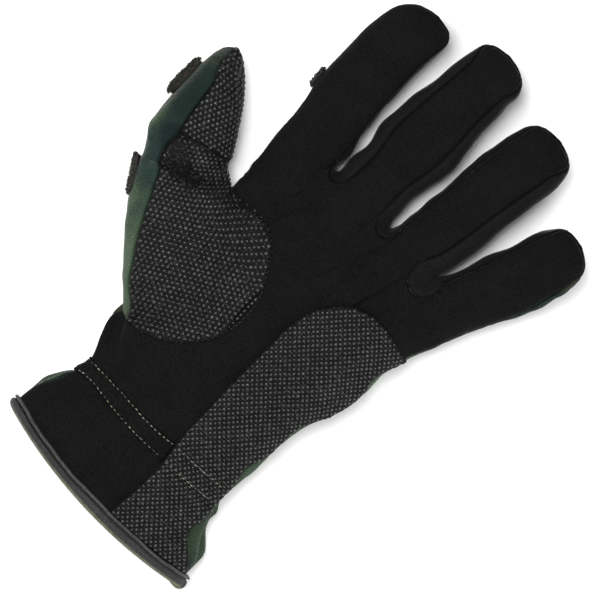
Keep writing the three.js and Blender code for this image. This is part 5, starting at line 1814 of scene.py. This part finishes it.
tab("cap_hook_tab", on_thumb(8.85, 10.35, 158, 212, 2.8), 2.8, 1700, 1.4, 71, "thumb_cap_hook_tab")
tab("thumb_loop_tab", on_thumb(3.9, 5.4, 160, 215, 1.3), 1.3, 900, 1.1, 72, "thumb_base_loop_tab")
tab("index_side_loop_tab", on_index(0.2, 10, 168, 215, 1.3), 1.3, 420, 1.0, 73, "index_loop_tab")
tab("index_tip_hook_tab", on_index(0.62, 14, 240, 300, 1.3), 1.3, 500, 0.8, 74,
    "index_cap_hook_tab")

# %% [markdown]
# ## What stands for what
#
# Each fine piece replaces its plain solid and rides on the glove's one body. The name of
# its material slot is listed beside it.

# %% Hand the pieces to the frame
for piece, node, slot_name in [
    (palm, "palm_panel", "palm_knit"), (back, "back_panel", "camouflage_knit"),
    *[(strip, name, "strip_knit") for strip, (name, _) in zip(strips, WEBS)],
    (thumb_ball, "thumb_grip_panel", "grip_cloth"), (thumb_cap, "thumb_cap", "grip_cloth"),
    (thumb_back, "thumb_back_panel", "camouflage_knit"), (heel, "heel_grip_panel", "grip_cloth"),
    (band, "wrist_band", "band_knit"), (tape, "cuff_binding", "cuff_tape"),
]:
    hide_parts(node)
    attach(piece, "root")

# %% [markdown]
# ## Table, light and camera
#
# The glove lies on a plain pale table in soft, even studio light: a wide softbox above, and
# two long low ones that graze the cloth and light its rims. The camera looks straight
# down from far away, turned so that the fingers point to the upper right.

# %% The table
TABLE_HALF = 3.0
corners = [(-TABLE_HALF, -TABLE_HALF, 0), (TABLE_HALF, -TABLE_HALF, 0),
           (TABLE_HALF, TABLE_HALF, 0), (-TABLE_HALF, TABLE_HALF, 0)]
floor_mesh = bpy.data.meshes.new("table")
floor_mesh.from_pydata(corners, [], [(0, 1, 2, 3)])
floor = bpy.data.objects.new("table", floor_mesh)
bpy.context.scene.collection.objects.link(floor)
table_paint, _, shader = finish("pale table", 0.9, 0.0, 0.1)
shader.inputs["Base Color"].default_value = (0.9, 0.9, 0.9, 1)
floor_mesh.materials.append(table_paint)
print("table:", 2 * TABLE_HALF, "m wide")

# %% The light
world = bpy.data.worlds.new("studio")
bpy.context.scene.world = world
world.use_nodes = True
sky = world.node_tree.nodes["Background"]
sky.inputs[0].default_value = (1.0, 1.0, 1.0, 1)
sky.inputs[1].default_value = 0.42


def softbox(name, where, aim, width, height, power):
    """An area light that faces its aim: tilted by the angle from straight up, and turned
    towards the plan direction."""
    light = bpy.data.lights.new(name, "AREA")
    light.shape, light.size, light.size_y, light.energy = "RECTANGLE", width, height, power
    holder = bpy.data.objects.new(name, light)
    bpy.context.scene.collection.objects.link(holder)
    way = np.array(where, float) - np.array(aim, float)
    tilt = math.atan2(math.hypot(way[0], way[1]), way[2])
    holder.location = where
    holder.rotation_euler = (tilt, 0, math.atan2(way[0], -way[1]))
    print(name, "gives", power, "W")


softbox("softbox above", (-0.3, 0.1, 1.15), (0, 0, 0), 0.6, 0.6, 15)
softbox("softbox right", (0.9, -0.2, 0.4), (0, 0, 0), 0.5, 1.0, 11)
softbox("softbox left", (-0.85, -0.35, 0.55), (0, 0, 0), 0.45, 0.9, 7)

# %% The camera
SPAN, FAR, MID_HEIGHT, SENSOR = 0.270, 2.4, 0.012, 36
right_way = np.array([0.7193, 0.6947])
middle = (np.array([6.0, 90.0]) + FROM_WRIST[:2]) / PER_METRE
camera_data = bpy.data.cameras.new("camera")
camera_data.sensor_width = SENSOR
camera_data.lens = SENSOR * FAR / SPAN
camera_data.clip_end = 20
camera = bpy.data.objects.new("camera", camera_data)
camera.location = (middle[0], middle[1], FAR + MID_HEIGHT)
camera.rotation_euler = (0, 0, math.atan2(right_way[1], right_way[0]))
bpy.context.scene.collection.objects.link(camera)
bpy.context.scene.camera = camera
bpy.context.scene.view_settings.view_transform = "Standard"
print("camera over", np.round(middle, 4), "m, lens", round(camera_data.lens), "mm")
